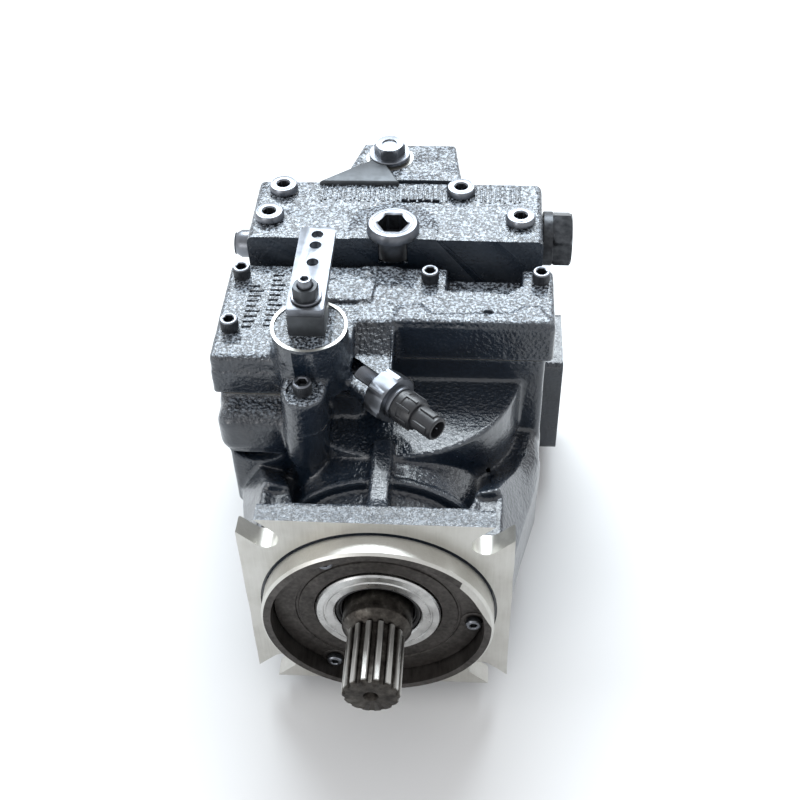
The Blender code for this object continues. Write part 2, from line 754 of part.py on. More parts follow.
def cylinder_block():
    block = rod("cylinder_block", (0, BLOCK_FRONT, 0), (0, BLOCK_REAR, 0), BLOCK_R, 28, material=STEEL)
    cut(
        block,
        rod("block_bore", (0, 0.12, 0), (0, 0.18, 0), SHAFT_R + 0.0006, 20),
        rod("spring_pocket", (0, 0.12, 0), (0, 0.150, 0), 0.0236, 20),
    )
    for index in range(1, PISTONS + 1):
        x, z = around(PITCH_R, 90 + 360 * (index - 1) / PISTONS)
        cut(
            block,
            rod(f"piston_bore_{index}", (x, 0.12, z), (x, 0.1672, z), PISTON_BORE_R, 12),
            rod(f"piston_port_{index}", (x, 0.16, z), (x, 0.18, z), 0.0055, 8),
        )
    return block


def piston_profile():
    ball = [(BALL_R * math.cos(t), -BALL_R * math.sin(t)) for t in map(math.radians, (-38, 0, 45))]
    return (
        (0, 0.050), (PISTON_R, 0.050), (PISTON_R, 0.0105), (0.0040, 0.0070), *ball, (0, -BALL_R),
    )


def slipper_profile():
    face = SWASH_FACE + GAP - TILT_Y
    return (
        (0, -SOCKET_R), (0.0052, -0.0050), (SOCKET_R, 0.0), (0.0070, 0.0016), (CUP_R, 0.0016),
        (CUP_R, -0.0046), (SLIPPER_R, -0.0046), (SLIPPER_R, face), (0, face),
    )


def pistons_and_slippers():
    for index in range(1, PISTONS + 1):
        x, z = around(PITCH_R, 90 + 360 * (index - 1) / PISTONS)
        turned(f"piston_{index}", piston_profile(), (x, TILT_Y, z), STEEL, steps=10)
        turned(f"slipper_{index}", slipper_profile(), (x, TILT_Y, z), BRONZE, steps=10)


def slipper_retainer():
    plate = turned(
        "slipper_retainer",
        ((0.0498, 0.1035), (0.0498, 0.1007), (0.0240, 0.1007), (0.0240, 0.1035)),
        (0, 0, 0),
        STEEL,
        steps=28,
        ring=True,
    )
    for index in range(1, PISTONS + 1):
        x, z = around(PITCH_R, 90 + 360 * (index - 1) / PISTONS)
        cut(plate, rod(f"slipper_hole_{index}", (x, 0.095, z), (x, 0.11, z), CUP_R + 0.0008, 10))
    return plate


def swashplate():
    """A block with a back round about the tilt axis, and a disc that the slippers run on."""
    plate = rod("swashplate", (-DISC_R, TILT_Y, 0), (DISC_R, TILT_Y, 0), CRADLE_R, 36, material=MACHINED)
    rim = rod("disc_rim", (0, DISC_BACK, 0), (0, SWASH_FACE + 0.001, 0), 0.1, 28)
    cut(rim, rod("disc_core", (0, 0.08, 0), (0, 0.11, 0), DISC_R, 28))
    window = box("shaft_window", (-0.0190, 0.050, -0.036), (0.0190, 0.100, 0.036))
    for vertex in window.data.vertices:
        if vertex.co.y > 0.09:
            vertex.co.z *= 0.6
    cut(
        plate,
        box("running_face", (-0.06, SWASH_FACE, -0.06), (0.06, 0.16, 0.06)),
        window,
        rim,
        box("left_relief", (-0.06, 0.05, -0.06), (-CRADLE_HALF, DISC_BACK, 0.06)),
        box("right_relief", (CRADLE_HALF, 0.05, -0.06), (0.06, DISC_BACK, 0.06)),
    )
    arm_top = SERVO_Z + 0.0040
    join(
        plate,
        box("swash_arm", (ARM_OUTER, 0.0985, 0.028), (-0.0445, 0.1115, arm_top)),
        box("swash_arm_side", (ARM_OUTER, 0.0890, 0.010), (-0.0506, 0.1115, 0.034)),
        box("swash_arm_root", (ARM_OUTER, 0.0890, 0.010), (-0.0430, 0.0965, 0.024)),
        rod("swash_pin", (-0.050, TILT_Y, SERVO_Z), (SERVO_X + 0.002, TILT_Y, SERVO_Z), PIN_R, 10),
    )
    return plate


def servo_piston():
    low, high = TILT_Y - SERVO_HALF, TILT_Y + SERVO_HALF
    ends = (SERVO_X, low, SERVO_Z), (SERVO_X, high, SERVO_Z)
    piston = rod("servo_piston", *ends, SERVO_R, 20, material=STEEL)
    slot = box(
        "pin_slot",
        (SERVO_X - 0.001, TILT_Y - 0.0046, SERVO_Z - 0.0085),
        (SERVO_X + 0.02, TILT_Y + 0.0046, SERVO_Z + 0.0065),
    )
    cut(piston, slot)
    return piston


def block_spring():
    """A round-wire spring in the cylinder block, round the shaft."""
    turns, start, end, coil_r = 4.0, 0.1145, 0.1478, 0.0203
    steps = int(turns * 9)
    curve = bpy.data.curves.new("block_spring", "CURVE")
    curve.dimensions = "3D"
    curve.bevel_depth = 0.0017
    curve.bevel_resolution = 0
    curve.use_fill_caps = True
    spline = curve.splines.new("POLY")
    spline.points.add(steps)
    for step, point in enumerate(spline.points):
        x, z = around(coil_r, 360 * turns * step / steps)
        point.co = (x, start + (end - start) * step / steps, z, 1.0)
    return add_object("block_spring", curve, STEEL)


def valve_plate():
    plate = turned(
        "valve_plate",
        ((0.0500, 0.1779), (0.0500, 0.1710), (0.0176, 0.1710), (0.0176, 0.1779)),
        (0, 0, 0),
        BRONZE,
        steps=32,
        ring=True,
    )
    for side in (-1, 1):
        centre = 90 + side * 90
        outer_side = arc((0, 0), 0.0425, centre - 62, centre + 62, 8)
        outline = outer_side + arc((0, 0), 0.0335, centre + 62, centre - 62, 8)
        cut(plate, flat(f"kidney_slot_{side}", outline, 0.165, 0.185, axis="Y"))
    return plate


def gear_outline(mean, step, lobes, phase, points):
    outline = []
    for index in range(points):
        turn = 2 * math.pi * index / points
        radius = mean + step * math.cos(lobes * turn + phase)
        outline.append((radius * math.cos(turn), radius * math.sin(turn)))
    return outline


def charge_gears():
    inner = flat(
        "charge_gear_inner",
        gear_outline(LOBE_MEAN_R, LOBE_STEP, LOBES, 0.0, 48),
        GEAR_START,
        GEAR_END,
        axis="Y",
        material=STEEL,
    )
    cut(inner, rod("inner_gear_bore", (0, 0.23, 0), (0, 0.27, 0), 0.0086, 16))
    ends = (LOBE_STEP, GEAR_START, 0), (LOBE_STEP, GEAR_END, 0)
    outer = rod("charge_gear_outer", *ends, RING_R, 28, material=STEEL)
    mean = LOBE_MEAN_R + LOBE_STEP + LOBE_GAP
    hollow = flat("ring_hollow", gear_outline(mean, LOBE_STEP, LOBES + 1, math.pi, 56), 0.23, 0.27, axis="Y")
    hollow.location = (LOBE_STEP, 0, 0)
    cut(outer, hollow)
    set_origin(outer, (LOBE_STEP, 0, 0))


# ---- Control lever and switch ---------------------------------------------------------------


def control_lever():
    shaft = turned(
        "control_shaft",
        ((0, 0.0545), (0.0038, 0.0545), (0.0038, LEVER_Z - LEVER_BOSS_TOP + 0.0375), (0.0038, 0.034),
         (0.0068, 0.034), (0.0068, -0.0010), (0, -0.0010)),
        (LEVER_X, LEVER_Y, 0.100),
        STEEL,
        steps=12,
        axis="Z",
    )
    hub_low = LEVER_BOSS_TOP + 2 * GAP
    join(
        shaft,
        box(
            "square_hub",
            (LEVER_X - 0.0100, LEVER_Y - 0.0100, hub_low),
            (LEVER_X + 0.0100, LEVER_Y + 0.0100, LEVER_Z - GAP),
            bevel=0.001,
            segments=1,
        ),
        rod("crank_stem", (LEVER_X, LEVER_Y, 0.0800), (LEVER_X, LEVER_Y, 0.1005), 0.0068, 12),
        box(
            "crank",
            (LEVER_X - 0.0055, LEVER_Y + 0.002, 0.0800),
            (LEVER_X + 0.0055, LEVER_Y + 0.018, 0.0865),
        ),
    )
    half = LEVER_WIDTH / 2
    outline = round_box_outline((-half, -0.0105), (half, LEVER_REACH), 0.0018, 0.0060, 2)
    lever = flat("control_lever", outline, LEVER_Z, LEVER_Z + LEVER_THICK, material=STEEL)
    lever.location = (LEVER_X, LEVER_Y, 0)
    holes = ((0.0, 0.0042), (0.0295, 0.0033), (0.0445, 0.0033), (0.0540, 0.0033))
    for index, (along, radius) in enumerate(holes):
        hole = rod(f"lever_hole_{index}", (0, along, 0.13), (0, along, 0.15), radius, 12)
        hole.parent = lever
        cut(lever, hole)
    nut_low = LEVER_Z + LEVER_THICK + GAP
    nut = turned(
        "lever_nut",
        ((0, 0.0015), (0.0085, 0.0015), (0.0085, 0), (0, 0)),
        (LEVER_X, LEVER_Y, nut_low),
        STEEL,
        steps=12,
        axis="Z",
    )
    hexagon = rod("nut_hexagon", (0, 0, 0.0010), (0, 0, 0.0080), 0.0072, 6)
    hexagon.parent = nut
    bore = rod("nut_bore", (0, 0, -0.002), (0, 0, 0.010), 0.0042, 12)
    bore.parent = nut
    join(nut, hexagon)
    cut(nut, bore)


def neutral_switch():
    """A threaded switch whose body, hexagon and connector lie on one level axis."""
    switch = turned(
        "neutral_switch",
        ((0, 0.0560), (0.0068, 0.0560), (0.0068, 0.0420), (0.0092, 0.0415), (0.0100, 0.0260),
         (0.0100, 0.0240), (0.0062, 0.0123), (0.0062, -0.0040), (0, -0.0040)),
        SWITCH_START,
        PLASTIC,
        steps=16,
        axis="Z",
    )
    switch.rotation_euler = (0, math.pi / 2, SWITCH_TURN)
    hexagon = rod("switch_hexagon", (0, 0, 0.0123), (0, 0, 0.0250), 0.0150, 6)
    hexagon.parent = switch
    join(switch, hexagon)
    return switch


# ---- Assembly -------------------------------------------------------------------------------

main_housing()
control_housing()
end_cap()
charge_pump_housing()
front_seal()
bearings()
fasteners()
plugs()
drive_shaft()
cylinder_block()
pistons_and_slippers()
slipper_retainer()
set_origin(swashplate(), (0, TILT_Y, 0))
servo_piston()
block_spring()
valve_plate()
charge_gears()
control_lever()
neutral_switch()
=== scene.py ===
"""Looks of the axial piston pump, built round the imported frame.

Lengths below are in millimetres in the pump's own axes: the origin is where the shaft axis meets the
face of the mounting flange, +Y runs back along the shaft, +X is to the right seen from the shaft end,
and +Z is up to the control lever. PLACE carries them into the row frame, in metres.
"""

import math

import bmesh
import bpy
import numpy as np
from mathutils import Matrix, Vector


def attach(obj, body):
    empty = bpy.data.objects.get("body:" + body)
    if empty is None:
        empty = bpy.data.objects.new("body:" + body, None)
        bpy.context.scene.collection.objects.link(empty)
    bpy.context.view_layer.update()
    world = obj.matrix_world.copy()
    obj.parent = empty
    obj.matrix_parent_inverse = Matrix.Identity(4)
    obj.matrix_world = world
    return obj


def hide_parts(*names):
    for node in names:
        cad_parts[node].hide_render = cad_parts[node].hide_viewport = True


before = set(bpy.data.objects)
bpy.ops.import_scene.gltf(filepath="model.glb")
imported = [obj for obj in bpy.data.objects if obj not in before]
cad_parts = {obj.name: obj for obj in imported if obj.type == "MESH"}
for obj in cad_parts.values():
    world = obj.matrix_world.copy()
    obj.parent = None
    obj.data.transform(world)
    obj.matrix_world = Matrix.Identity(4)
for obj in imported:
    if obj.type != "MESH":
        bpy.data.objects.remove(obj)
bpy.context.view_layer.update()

MM = 0.001
PUMP_AXIS = Vector((0.0, -0.1135, 0.084))
PLACE = Matrix.Translation(PUMP_AXIS) @ Matrix.Scale(MM, 4)

# ---- Cast shapes as distance fields --------------------------------------------------------------

FAR = 30.0


class Casting:
    """A distance field on a grid. Shapes are added and cut with round fillets, and a mesh is drawn
    through its zero surface."""

    def __init__(self, low, high, step):
        self.step = step
        self.low = np.array(low, float)
        counts = [int(math.ceil((b - a) / step)) + 1 for a, b in zip(low, high)]
        self.axes = [a + step * np.arange(n) for a, n in zip(low, counts)]
        self.field = np.full(counts, FAR, np.float32)

    def _window(self, shape, margin):
        low, high = shape.box
        spans = []
        for axis, a, b in zip(self.axes, low, high):
            first, last = np.searchsorted(axis, (a - margin, b + margin))
            spans.append(slice(max(int(first), 0), int(last)))
        return tuple(spans)

    def _coordinates(self, spans):
        x, y, z = (axis[span] for axis, span in zip(self.axes, spans))
        return x[:, None, None], y[None, :, None], z[None, None, :]

    def add(self, *shapes, fillet=4.0):
        for shape in shapes:
            spans = self._window(shape, fillet + 4)
            new = shape(*self._coordinates(spans))
            self.field[spans] = soft_min(self.field[spans], new, fillet)

    def cut(self, *shapes, fillet=1.5):
        for shape in shapes:
            spans = self._window(shape, fillet + 4)
            new = shape(*self._coordinates(spans))
            self.field[spans] = -soft_min(-self.field[spans], new, fillet)

    def roughen(self, layers, seed):
        """Cast unevenness: layers of (wavelength, height) in millimetres."""
        rng = np.random.default_rng(seed)
        for wavelength, height in layers:
            noise = smooth_noise(self.field.shape, self.step / wavelength, rng)
            self.field += (height * noise).astype(np.float32)

    def mesh(self, name):
        for axis in range(3):
            for end in (0, -1):
                at = [slice(None)] * 3
                at[axis] = end
                self.field[tuple(at)] = np.maximum(self.field[tuple(at)], 0.3 * self.step)
        points, quads = surface_net(self.field)
        points = self.low + points * self.step
        mesh = bpy.data.meshes.new(name)
        mesh.vertices.add(len(points))
        mesh.vertices.foreach_set("co", points.astype(np.float32).ravel())
        mesh.loops.add(quads.size)
        mesh.loops.foreach_set("vertex_index", quads.astype(np.int32).ravel())
        mesh.polygons.add(len(quads))
        mesh.polygons.foreach_set("loop_start", np.arange(0, quads.size, 4, dtype=np.int32))
        mesh.update(calc_edges=True)
        mesh.validate()
        return mesh


def soft_min(a, b, width):
    share = np.maximum(width - np.abs(a - b), 0) / max(width, 1e-6)
    return (np.minimum(a, b) - share * share * width * 0.25).astype(np.float32)


def smooth_noise(shape, cycles_per_cell, rng):
    """Random values of about unit spread that change smoothly over the grid."""
    coarse = [max(3, int(n * cycles_per_cell) + 3) for n in shape]
    values = rng.standard_normal(coarse)
    for axis, n in enumerate(shape):
        at = np.linspace(0, coarse[axis] - 1.001, n)
        low = at.astype(int)
        part = at - low
        part = part * part * (3 - 2 * part)
        part = part.reshape([-1 if i == axis else 1 for i in range(3)])
        values = np.take(values, low, axis) * (1 - part) + np.take(values, low + 1, axis) * part
    return values


def surface_net(field):
    """Points (in cells) and quads of the zero surface, one point in each cell that it crosses."""
    inside = field < 0
    cells = np.array(field.shape) - 1
    cell_ids, spots, edges = [], [], []
    for axis in range(3):
        near = [slice(None)] * 3
        far = [slice(None)] * 3
        near[axis], far[axis] = slice(0, -1), slice(1, None)
        crossed = inside[tuple(near)] != inside[tuple(far)]
        at = np.argwhere(crossed)
        a, b = field[tuple(near)][crossed], field[tuple(far)][crossed]
        spot = at.astype(float)
        spot[:, axis] += a / (a - b)
        u, v = (axis + 1) % 3, (axis + 2) % 3
        corners = []
        for du, dv in ((0, 0), (-1, 0), (-1, -1), (0, -1)):
            cell = at.copy()
            cell[:, u] += du
            cell[:, v] += dv
            corners.append(cell)
        keep = np.all([((c >= 0) & (c < cells)).all(1) for c in corners], axis=0)
        ids = np.stack([np.ravel_multi_index(c[keep].T, cells) for c in corners], 1)
        cell_ids.append(ids)
        spots.append(spot[keep])
        edges.append((ids, a[keep] < 0))
    every = np.concatenate([ids.ravel() for ids in cell_ids])
    where = np.concatenate([np.repeat(spot, 4, axis=0) for spot in spots])
    used, index = np.unique(every, return_inverse=True)
    index = index.reshape(-1)
    counts = np.bincount(index)
    points = np.stack([np.bincount(index, weights=where[:, k]) / counts for k in range(3)], 1)
    quads = []
    for ids, outward in edges:
        found = np.searchsorted(used, ids)
        quads.append(np.where(outward[:, None], found, found[:, ::-1]))
    return points, np.concatenate(quads)


class Shape:
    """A distance function with the box that holds its zero surface."""

    def __init__(self, distance, low, high):
        self.distance = distance
        self.box = (low, high)

    def __call__(self, x, y, z):
        return self.distance(x, y, z)


def block(low, high, edge=1.5):
    middle = [(a + b) / 2 for a, b in zip(low, high)]
    half = [(b - a) / 2 - edge for a, b in zip(low, high)]

    def distance(*at):
        out = [np.abs(v - m) - h for v, m, h in zip(at, middle, half)]
        beyond = np.sqrt(sum(np.maximum(v, 0) ** 2 for v in out))
        return beyond + np.minimum(np.maximum(np.maximum(out[0], out[1]), out[2]), 0) - edge

    return Shape(distance, low, high)


def rounded(across, level, edge):
    """Distance to a solid with round edges, from the distances across and along its core."""
    beyond = np.hypot(np.maximum(across, 0), np.maximum(level, 0))
    return beyond + np.minimum(np.maximum(across, level), 0) - edge


def drum(axis, centre, radius, low, high, edge=1.5):
    """A cylinder along an axis. centre gives the other two coordinates in the order X, Y, Z."""
    along = "XYZ".index(axis)
    others = [i for i in range(3) if i != along]

    def distance(*at):
        across = np.hypot(at[others[0]] - centre[0], at[others[1]] - centre[1]) - (radius - edge)
        level = np.abs(at[along] - (low + high) / 2) - ((high - low) / 2 - edge)
        return rounded(across, level, edge)

    box = [[0.0] * 3, [0.0] * 3]
    for i, value in zip(others, centre):
        box[0][i], box[1][i] = value - radius, value + radius
    box[0][along], box[1][along] = low, high
    return Shape(distance, *box)


def limb(start, end, first, last):
    """A round bar from start to end whose radius goes from first to last."""
    line = [b - a for a, b in zip(start, end)]
    length = sum(v * v for v in line)

    def distance(*at):
        away = [v - a for v, a in zip(at, start)]
        part = np.clip(sum(v * w for v, w in zip(away, line)) / length, 0, 1)
        gap = np.sqrt(sum((v - part * w) ** 2 for v, w in zip(away, line)))
        return gap - (first + (last - first) * part)

    thick = max(first, last)
    low = [min(a, b) - thick for a, b in zip(start, end)]
    high = [max(a, b) + thick for a, b in zip(start, end)]
    return Shape(distance, low, high)


def outline_distance(u, v, points):
    """Signed distance to a closed outline, below zero inside it."""
    nearest = np.full(np.broadcast(u, v).shape, 1e9)
    inside = np.zeros(nearest.shape, bool)
    for (ax, ay), (bx, by) in zip(points, points[1:] + points[:1]):
        ex, ey = bx - ax, by - ay
        wx, wy = u - ax, v - ay
        part = np.clip((wx * ex + wy * ey) / (ex * ex + ey * ey + 1e-12), 0, 1)
        nearest = np.minimum(nearest, (wx - part * ex) ** 2 + (wy - part * ey) ** 2)
        if ay != by:
            inside ^= ((ay > v) != (by > v)) & (u < ax + (v - ay) * ex / ey)
    return np.sqrt(nearest) * np.where(inside, -1, 1)


def prism(axis, points, low, high, edge=1.5):
    """An outline made thick along an axis, its edges and corners rounded inward."""
    along = "XYZ".index(axis)
    others = [i for i in range(3) if i != along]

    def distance(*at):
        flat = outline_distance(at[others[0]], at[others[1]], points) + edge
        level = np.abs(at[along] - (low + high) / 2) - ((high - low) / 2 - edge)
        return rounded(flat, level, edge)

    box = [[0.0] * 3, [0.0] * 3]
    for k, i in enumerate(others):
        box[0][i], box[1][i] = min(p[k] for p in points), max(p[k] for p in points)
    box[0][along], box[1][along] = low, high
    return Shape(distance, *box)


def loft(sections, edge=2.0):
    """A solid through (x, z) outlines given at places along Y."""
    places = [place for place, _ in sections]
    outlines = [outline for _, outline in sections]

    def distance(x, y, z):
        found = []
        for value in y.ravel():
            k = min(max(int(np.searchsorted(places, value)) - 1, 0), len(places) - 2)
            part = min(max((value - places[k]) / (places[k + 1] - places[k]), 0), 1)
            mixed = [
                (a[0] + (b[0] - a[0]) * part, a[1] + (b[1] - a[1]) * part)
                for a, b in zip(outlines[k], outlines[k + 1])
            ]
            flat = outline_distance(x[:, 0, :], z[:, 0, :], mixed)
            found.append(flat + edge)
        flat = np.stack(found, 1)
        level = np.maximum(places[0] + edge - y, y - (places[-1] - edge))
        return rounded(flat, level, edge)

    across = [p[0] for outline in outlines for p in outline]
    up = [p[1] for outline in outlines for p in outline]
    return Shape(distance, (min(across), places[0], min(up)), (max(across), places[-1], max(up)))


def arc(centre, radius, first, last, steps):
    turns = np.radians(np.linspace(first, last, steps + 1))
    return [(centre[0] + radius * math.cos(t), centre[1] + radius * math.sin(t)) for t in turns]


def round_box(low, high, top, bottom, steps=6):
    (x0, z0), (x1, z1) = low, high
    return (
        arc((x1 - top, z1 - top), top, 0, 90, steps)
        + arc((x0 + top, z1 - top), top, 90, 180, steps)
        + arc((x0 + bottom, z0 + bottom), bottom, 180, 270, steps)
        + arc((x1 - bottom, z0 + bottom), bottom, 270, 360, steps)
    )


# ---- Materials -----------------------------------------------------------------------------------


class Finish:
    """A procedural material on a Principled shader, in object coordinates."""

    def __init__(self, name, colour, metallic, roughness, **fixed):
        self.material = bpy.data.materials.new(name)
        self.material.use_nodes = True
        self.tree = self.material.node_tree
        self.shader = self.tree.nodes["Principled BSDF"]
        self.shader.inputs["Base Color"].default_value = (*colour, 1)
        self.shader.inputs["Metallic"].default_value = metallic
        self.shader.inputs["Roughness"].default_value = roughness
        for socket, value in fixed.items():
            self.shader.inputs[socket.replace("_", " ")].default_value = value
        self.coordinates = self.add("ShaderNodeTexCoord").outputs["Object"]

    def add(self, kind, **settings):
        node = self.tree.nodes.new(kind)
        for key, value in settings.items():
            setattr(node, key, value)
        return node

    def link(self, source, target):
        self.tree.links.new(source, target)

    def noise(self, scale, detail=3.0, rough=0.55, stretch=None, distortion=0.0):
        node = self.add("ShaderNodeTexNoise")
        node.inputs["Scale"].default_value = scale
        node.inputs["Detail"].default_value = detail
        node.inputs["Roughness"].default_value = rough
        node.inputs["Distortion"].default_value = distortion
        self.link(self.stretched(stretch), node.inputs["Vector"])
        return node.outputs["Fac"]

    def stretched(self, stretch):
        if stretch is None:
            return self.coordinates
        node = self.add("ShaderNodeMapping")
        node.inputs["Scale"].default_value = stretch
        self.link(self.coordinates, node.inputs["Vector"])
        return node.outputs["Vector"]

    def cells(self, scale):
        node = self.add("ShaderNodeTexVoronoi")
        node.inputs["Scale"].default_value = scale
        self.link(self.coordinates, node.inputs["Vector"])
        return node.outputs["Distance"]

    def ramp(self, source, *stops):
        node = self.add("ShaderNodeValToRGB")
        ramp = node.color_ramp
        while len(ramp.elements) < len(stops):
            ramp.elements.new(0.5)
        for element, (place, colour) in zip(ramp.elements, stops):
            element.position = place
            element.color = (*colour, 1) if isinstance(colour, tuple) else (colour, colour, colour, 1)
        self.link(source, node.inputs["Fac"])
        return node.outputs["Color"]

    def mix(self, share, first, second):
        node = self.add("ShaderNodeMix", data_type="RGBA")
        for socket, value in ((node.inputs[0], share), (node.inputs[6], first), (node.inputs[7], second)):
            if isinstance(value, bpy.types.NodeSocket):
                self.link(value, socket)
            elif isinstance(value, tuple):
                socket.default_value = (*value, 1)
            else:
                socket.default_value = value
        return node.outputs[2]

    def maths(self, operation, first, second):
        node = self.add("ShaderNodeMath", operation=operation)
        for socket, value in zip(node.inputs, (first, second)):
            if isinstance(value, bpy.types.NodeSocket):
                self.link(value, socket)
            else:
                socket.default_value = value
        return node.outputs["Value"]

    def upward(self, start, end, low, high):
        """A value that follows how far a surface faces up."""
        parts = self.add("ShaderNodeSeparateXYZ")
        self.link(self.add("ShaderNodeNewGeometry").outputs["Normal"], parts.inputs[0])
        node = self.add("ShaderNodeMapRange")
        for socket, value in zip(("From Min", "From Max", "To Min", "To Max"), (start, end, low, high)):
            node.inputs[socket].default_value = value
        self.link(parts.outputs["Z"], node.inputs["Value"])
        return node.outputs["Result"]

    def above(self, start, end):
        """A value that goes from 0 to 1 between two heights of the object."""
        parts = self.add("ShaderNodeSeparateXYZ")
        self.link(self.coordinates, parts.inputs[0])
        node = self.add("ShaderNodeMapRange")
        node.inputs["From Min"].default_value = start
        node.inputs["From Max"].default_value = end
        self.link(parts.outputs["Z"], node.inputs["Value"])
        return node.outputs["Result"]

    def attribute(self, name):
        return self.add("ShaderNodeAttribute", attribute_name=name).outputs["Fac"]

    def colour(self, source):
        self.link(source, self.shader.inputs["Base Color"])

    def roughness(self, source, low, high):
        node = self.add("ShaderNodeMapRange")
        node.inputs["To Min"].default_value = low
        node.inputs["To Max"].default_value = high
        self.link(source, node.inputs["Value"])
        self.link(node.outputs["Result"], self.shader.inputs["Roughness"])

    def bump(self, *layers):
        """Layers of (height source, strength, distance in metres), coarse first."""
        normal = None
        for source, strength, distance in layers:
            node = self.add("ShaderNodeBump")
            node.inputs["Strength"].default_value = strength
            node.inputs["Distance"].default_value = distance
            self.link(source, node.inputs["Height"])
            if normal is not None:
                self.link(normal, node.inputs["Normal"])
            normal = node.outputs["Normal"]
        self.link(normal, self.shader.inputs["Normal"])


def cast_paint():
    """Blue-black paint over sand-cast iron, thin and greyer on the edges where it also carries a painted
    highlight, with painted glints as light specks on the upward faces near the top.
    """
    f = Finish("cast_paint", (0.012, 0.017, 0.025), 0.0, 0.3, IOR=1.62, Coat_Weight=0.35, Coat_Roughness=0.14)
    mottle = f.noise(45, 4)
    grain = f.noise(620, 3, 0.6)
    pits = f.cells(430)
    body = f.ramp(mottle, (0.30, (0.003, 0.006, 0.012)), (0.70, (0.009, 0.016, 0.027)))
    dusty = f.mix(f.ramp(grain, (0.52, 0.0), (0.72, 0.25)), body, (0.026, 0.037, 0.053))
    up = f.maths("MULTIPLY", f.upward(0.15, 0.85, 0.22, 1.0), f.maths("MAXIMUM", f.above(0.150, 0.158), 0.35))
    # Light specks on the faces that point up, near the top of the castings, are painted glints: a painted
    # highlight for the sparkle of the lit paint.
    spots = f.ramp(f.noise(560, 2, 0.6), (0.46, 0.0), (0.60, 1.0))
    painted_glint_flecks = f.maths("MULTIPLY", spots, f.upward(0.75, 0.97, 0.0, 0.95))
    painted_glints = f.maths("MULTIPLY", painted_glint_flecks, f.above(0.152, 0.166))
    with_painted_glints = f.mix(painted_glints, dusty, (0.36, 0.41, 0.47))
    # Convex edges turn greyer: partly paint worn thin, partly a painted highlight along the edges.
    worn_and_highlit_edges = f.mix(f.maths("MULTIPLY", f.attribute("edge"), 0.45), with_painted_glints, (0.20, 0.22, 0.245))
    f.colour(worn_and_highlit_edges)
    f.roughness(f.noise(130, 3), 0.14, 0.34)
    speckle = f.noise(480, 2, 0.6)
    f.bump(
        (f.maths("MULTIPLY", f.noise(170, 2), up), 0.8, 0.0016),
        (f.maths("MULTIPLY", pits, up), 1.0, 0.0012),
        (f.maths("MULTIPLY", speckle, up), 1.0, 0.0019),
        (grain, 0.35, 0.0004),
    )
    return f.material


def machined_iron():
    """Milled and turned faces of the iron castings: warm grey with fine circular and cross marks."""
    f = Finish("machined_iron", (0.45, 0.44, 0.41), 0.9, 0.4)
    stain = f.noise(38, 5, 0.6)
    fine = f.noise(900, 2, 0.5, (1.0, 1.0, 0.06))
    tone = f.ramp(stain, (0.25, (0.42, 0.405, 0.37)), (0.55, (0.55, 0.54, 0.505)), (0.8, (0.62, 0.61, 0.58)))
    f.colour(f.mix(f.ramp(fine, (0.3, 0.0), (0.8, 0.35)), tone, (0.66, 0.655, 0.62)))
    f.roughness(f.noise(160, 4), 0.30, 0.52)
    f.bump((f.noise(60, 3), 0.10, 0.0006), (fine, 0.18, 0.0002))
    return f.material


def bright_steel(name, colour, low, high, scratch=(1.0, 0.08, 1.0)):
    f = Finish(name, colour, 1.0, 0.3)
    cloud = f.noise(120, 4)
    lines = f.noise(1500, 2, 0.5, scratch)
    dark = tuple(v * 0.62 for v in colour)
    light = tuple(min(v * 1.25, 1.0) for v in colour)
    f.colour(f.ramp(cloud, (0.25, dark), (0.5, colour), (0.8, light)))
    f.roughness(f.noise(300, 3), low, high)
    f.bump((lines, 0.10, 0.0002), (f.noise(700, 3), 0.08, 0.0002))
    return f.material


def screw_black():
    f = Finish("screw_black", (0.03, 0.032, 0.036), 0.7, 0.38)
    f.colour(f.ramp(f.noise(260, 4), (0.3, (0.018, 0.020, 0.024)), (0.75, (0.07, 0.074, 0.08))))
    f.roughness(f.noise(500, 3), 0.28, 0.50)
    f.bump((f.noise(800, 3), 0.15, 0.0002))
    return f.material


def worn_shaft():
    """Dark, oily splines with bright crests."""
    f = Finish("worn_shaft", (0.16, 0.145, 0.13), 1.0, 0.35)
    oily, dull, rubbed = (0.022, 0.019, 0.017), (0.075, 0.068, 0.060), (0.24, 0.23, 0.21)
    base = f.ramp(f.noise(170, 5, 0.65), (0.35, oily), (0.6, dull), (0.85, rubbed))
    f.colour(f.mix(f.attribute("edge"), base, (0.62, 0.61, 0.58)))
    f.roughness(f.noise(400, 4), 0.25, 0.50)
    f.bump((f.noise(900, 2, 0.5, (1.0, 0.1, 1.0)), 0.2, 0.0002), (f.noise(260, 4), 0.15, 0.0003))
    return f.material


def recess_face():
    """The oil-darkened, turned face inside the pilot."""
    f = Finish("recess_face", (0.10, 0.09, 0.08), 0.75, 0.42)
    cloud = f.noise(28, 5, 0.6, None, 1.2)
    ray = f.noise(420, 3, 0.6, (1.0, 0.2, 1.0))
    oily, dull, rubbed = (0.014, 0.012, 0.011), (0.045, 0.040, 0.037), (0.12, 0.11, 0.105)
    tone = f.ramp(cloud, (0.25, oily), (0.55, dull), (0.85, rubbed))
    f.colour(f.mix(f.ramp(ray, (0.35, 0.0), (0.75, 0.4)), tone, (0.14, 0.13, 0.12)))
    f.roughness(f.noise(90, 4), 0.28, 0.55)
    f.bump((f.noise(300, 4), 0.18, 0.0004))
    return f.material


def plain(name, colour, metallic, low, high, scale=300, strength=0.15):
    f = Finish(name, colour, metallic, (low + high) / 2)
    dark, light = (tuple(v * share for v in colour) for share in (0.7, 1.3))
    f.colour(f.ramp(f.noise(scale * 0.4, 4), (0.3, dark), (0.75, light)))
    f.roughness(f.noise(scale, 3), low, high)
    f.bump((f.noise(scale * 2, 3), strength, 0.0003))
    return f.material


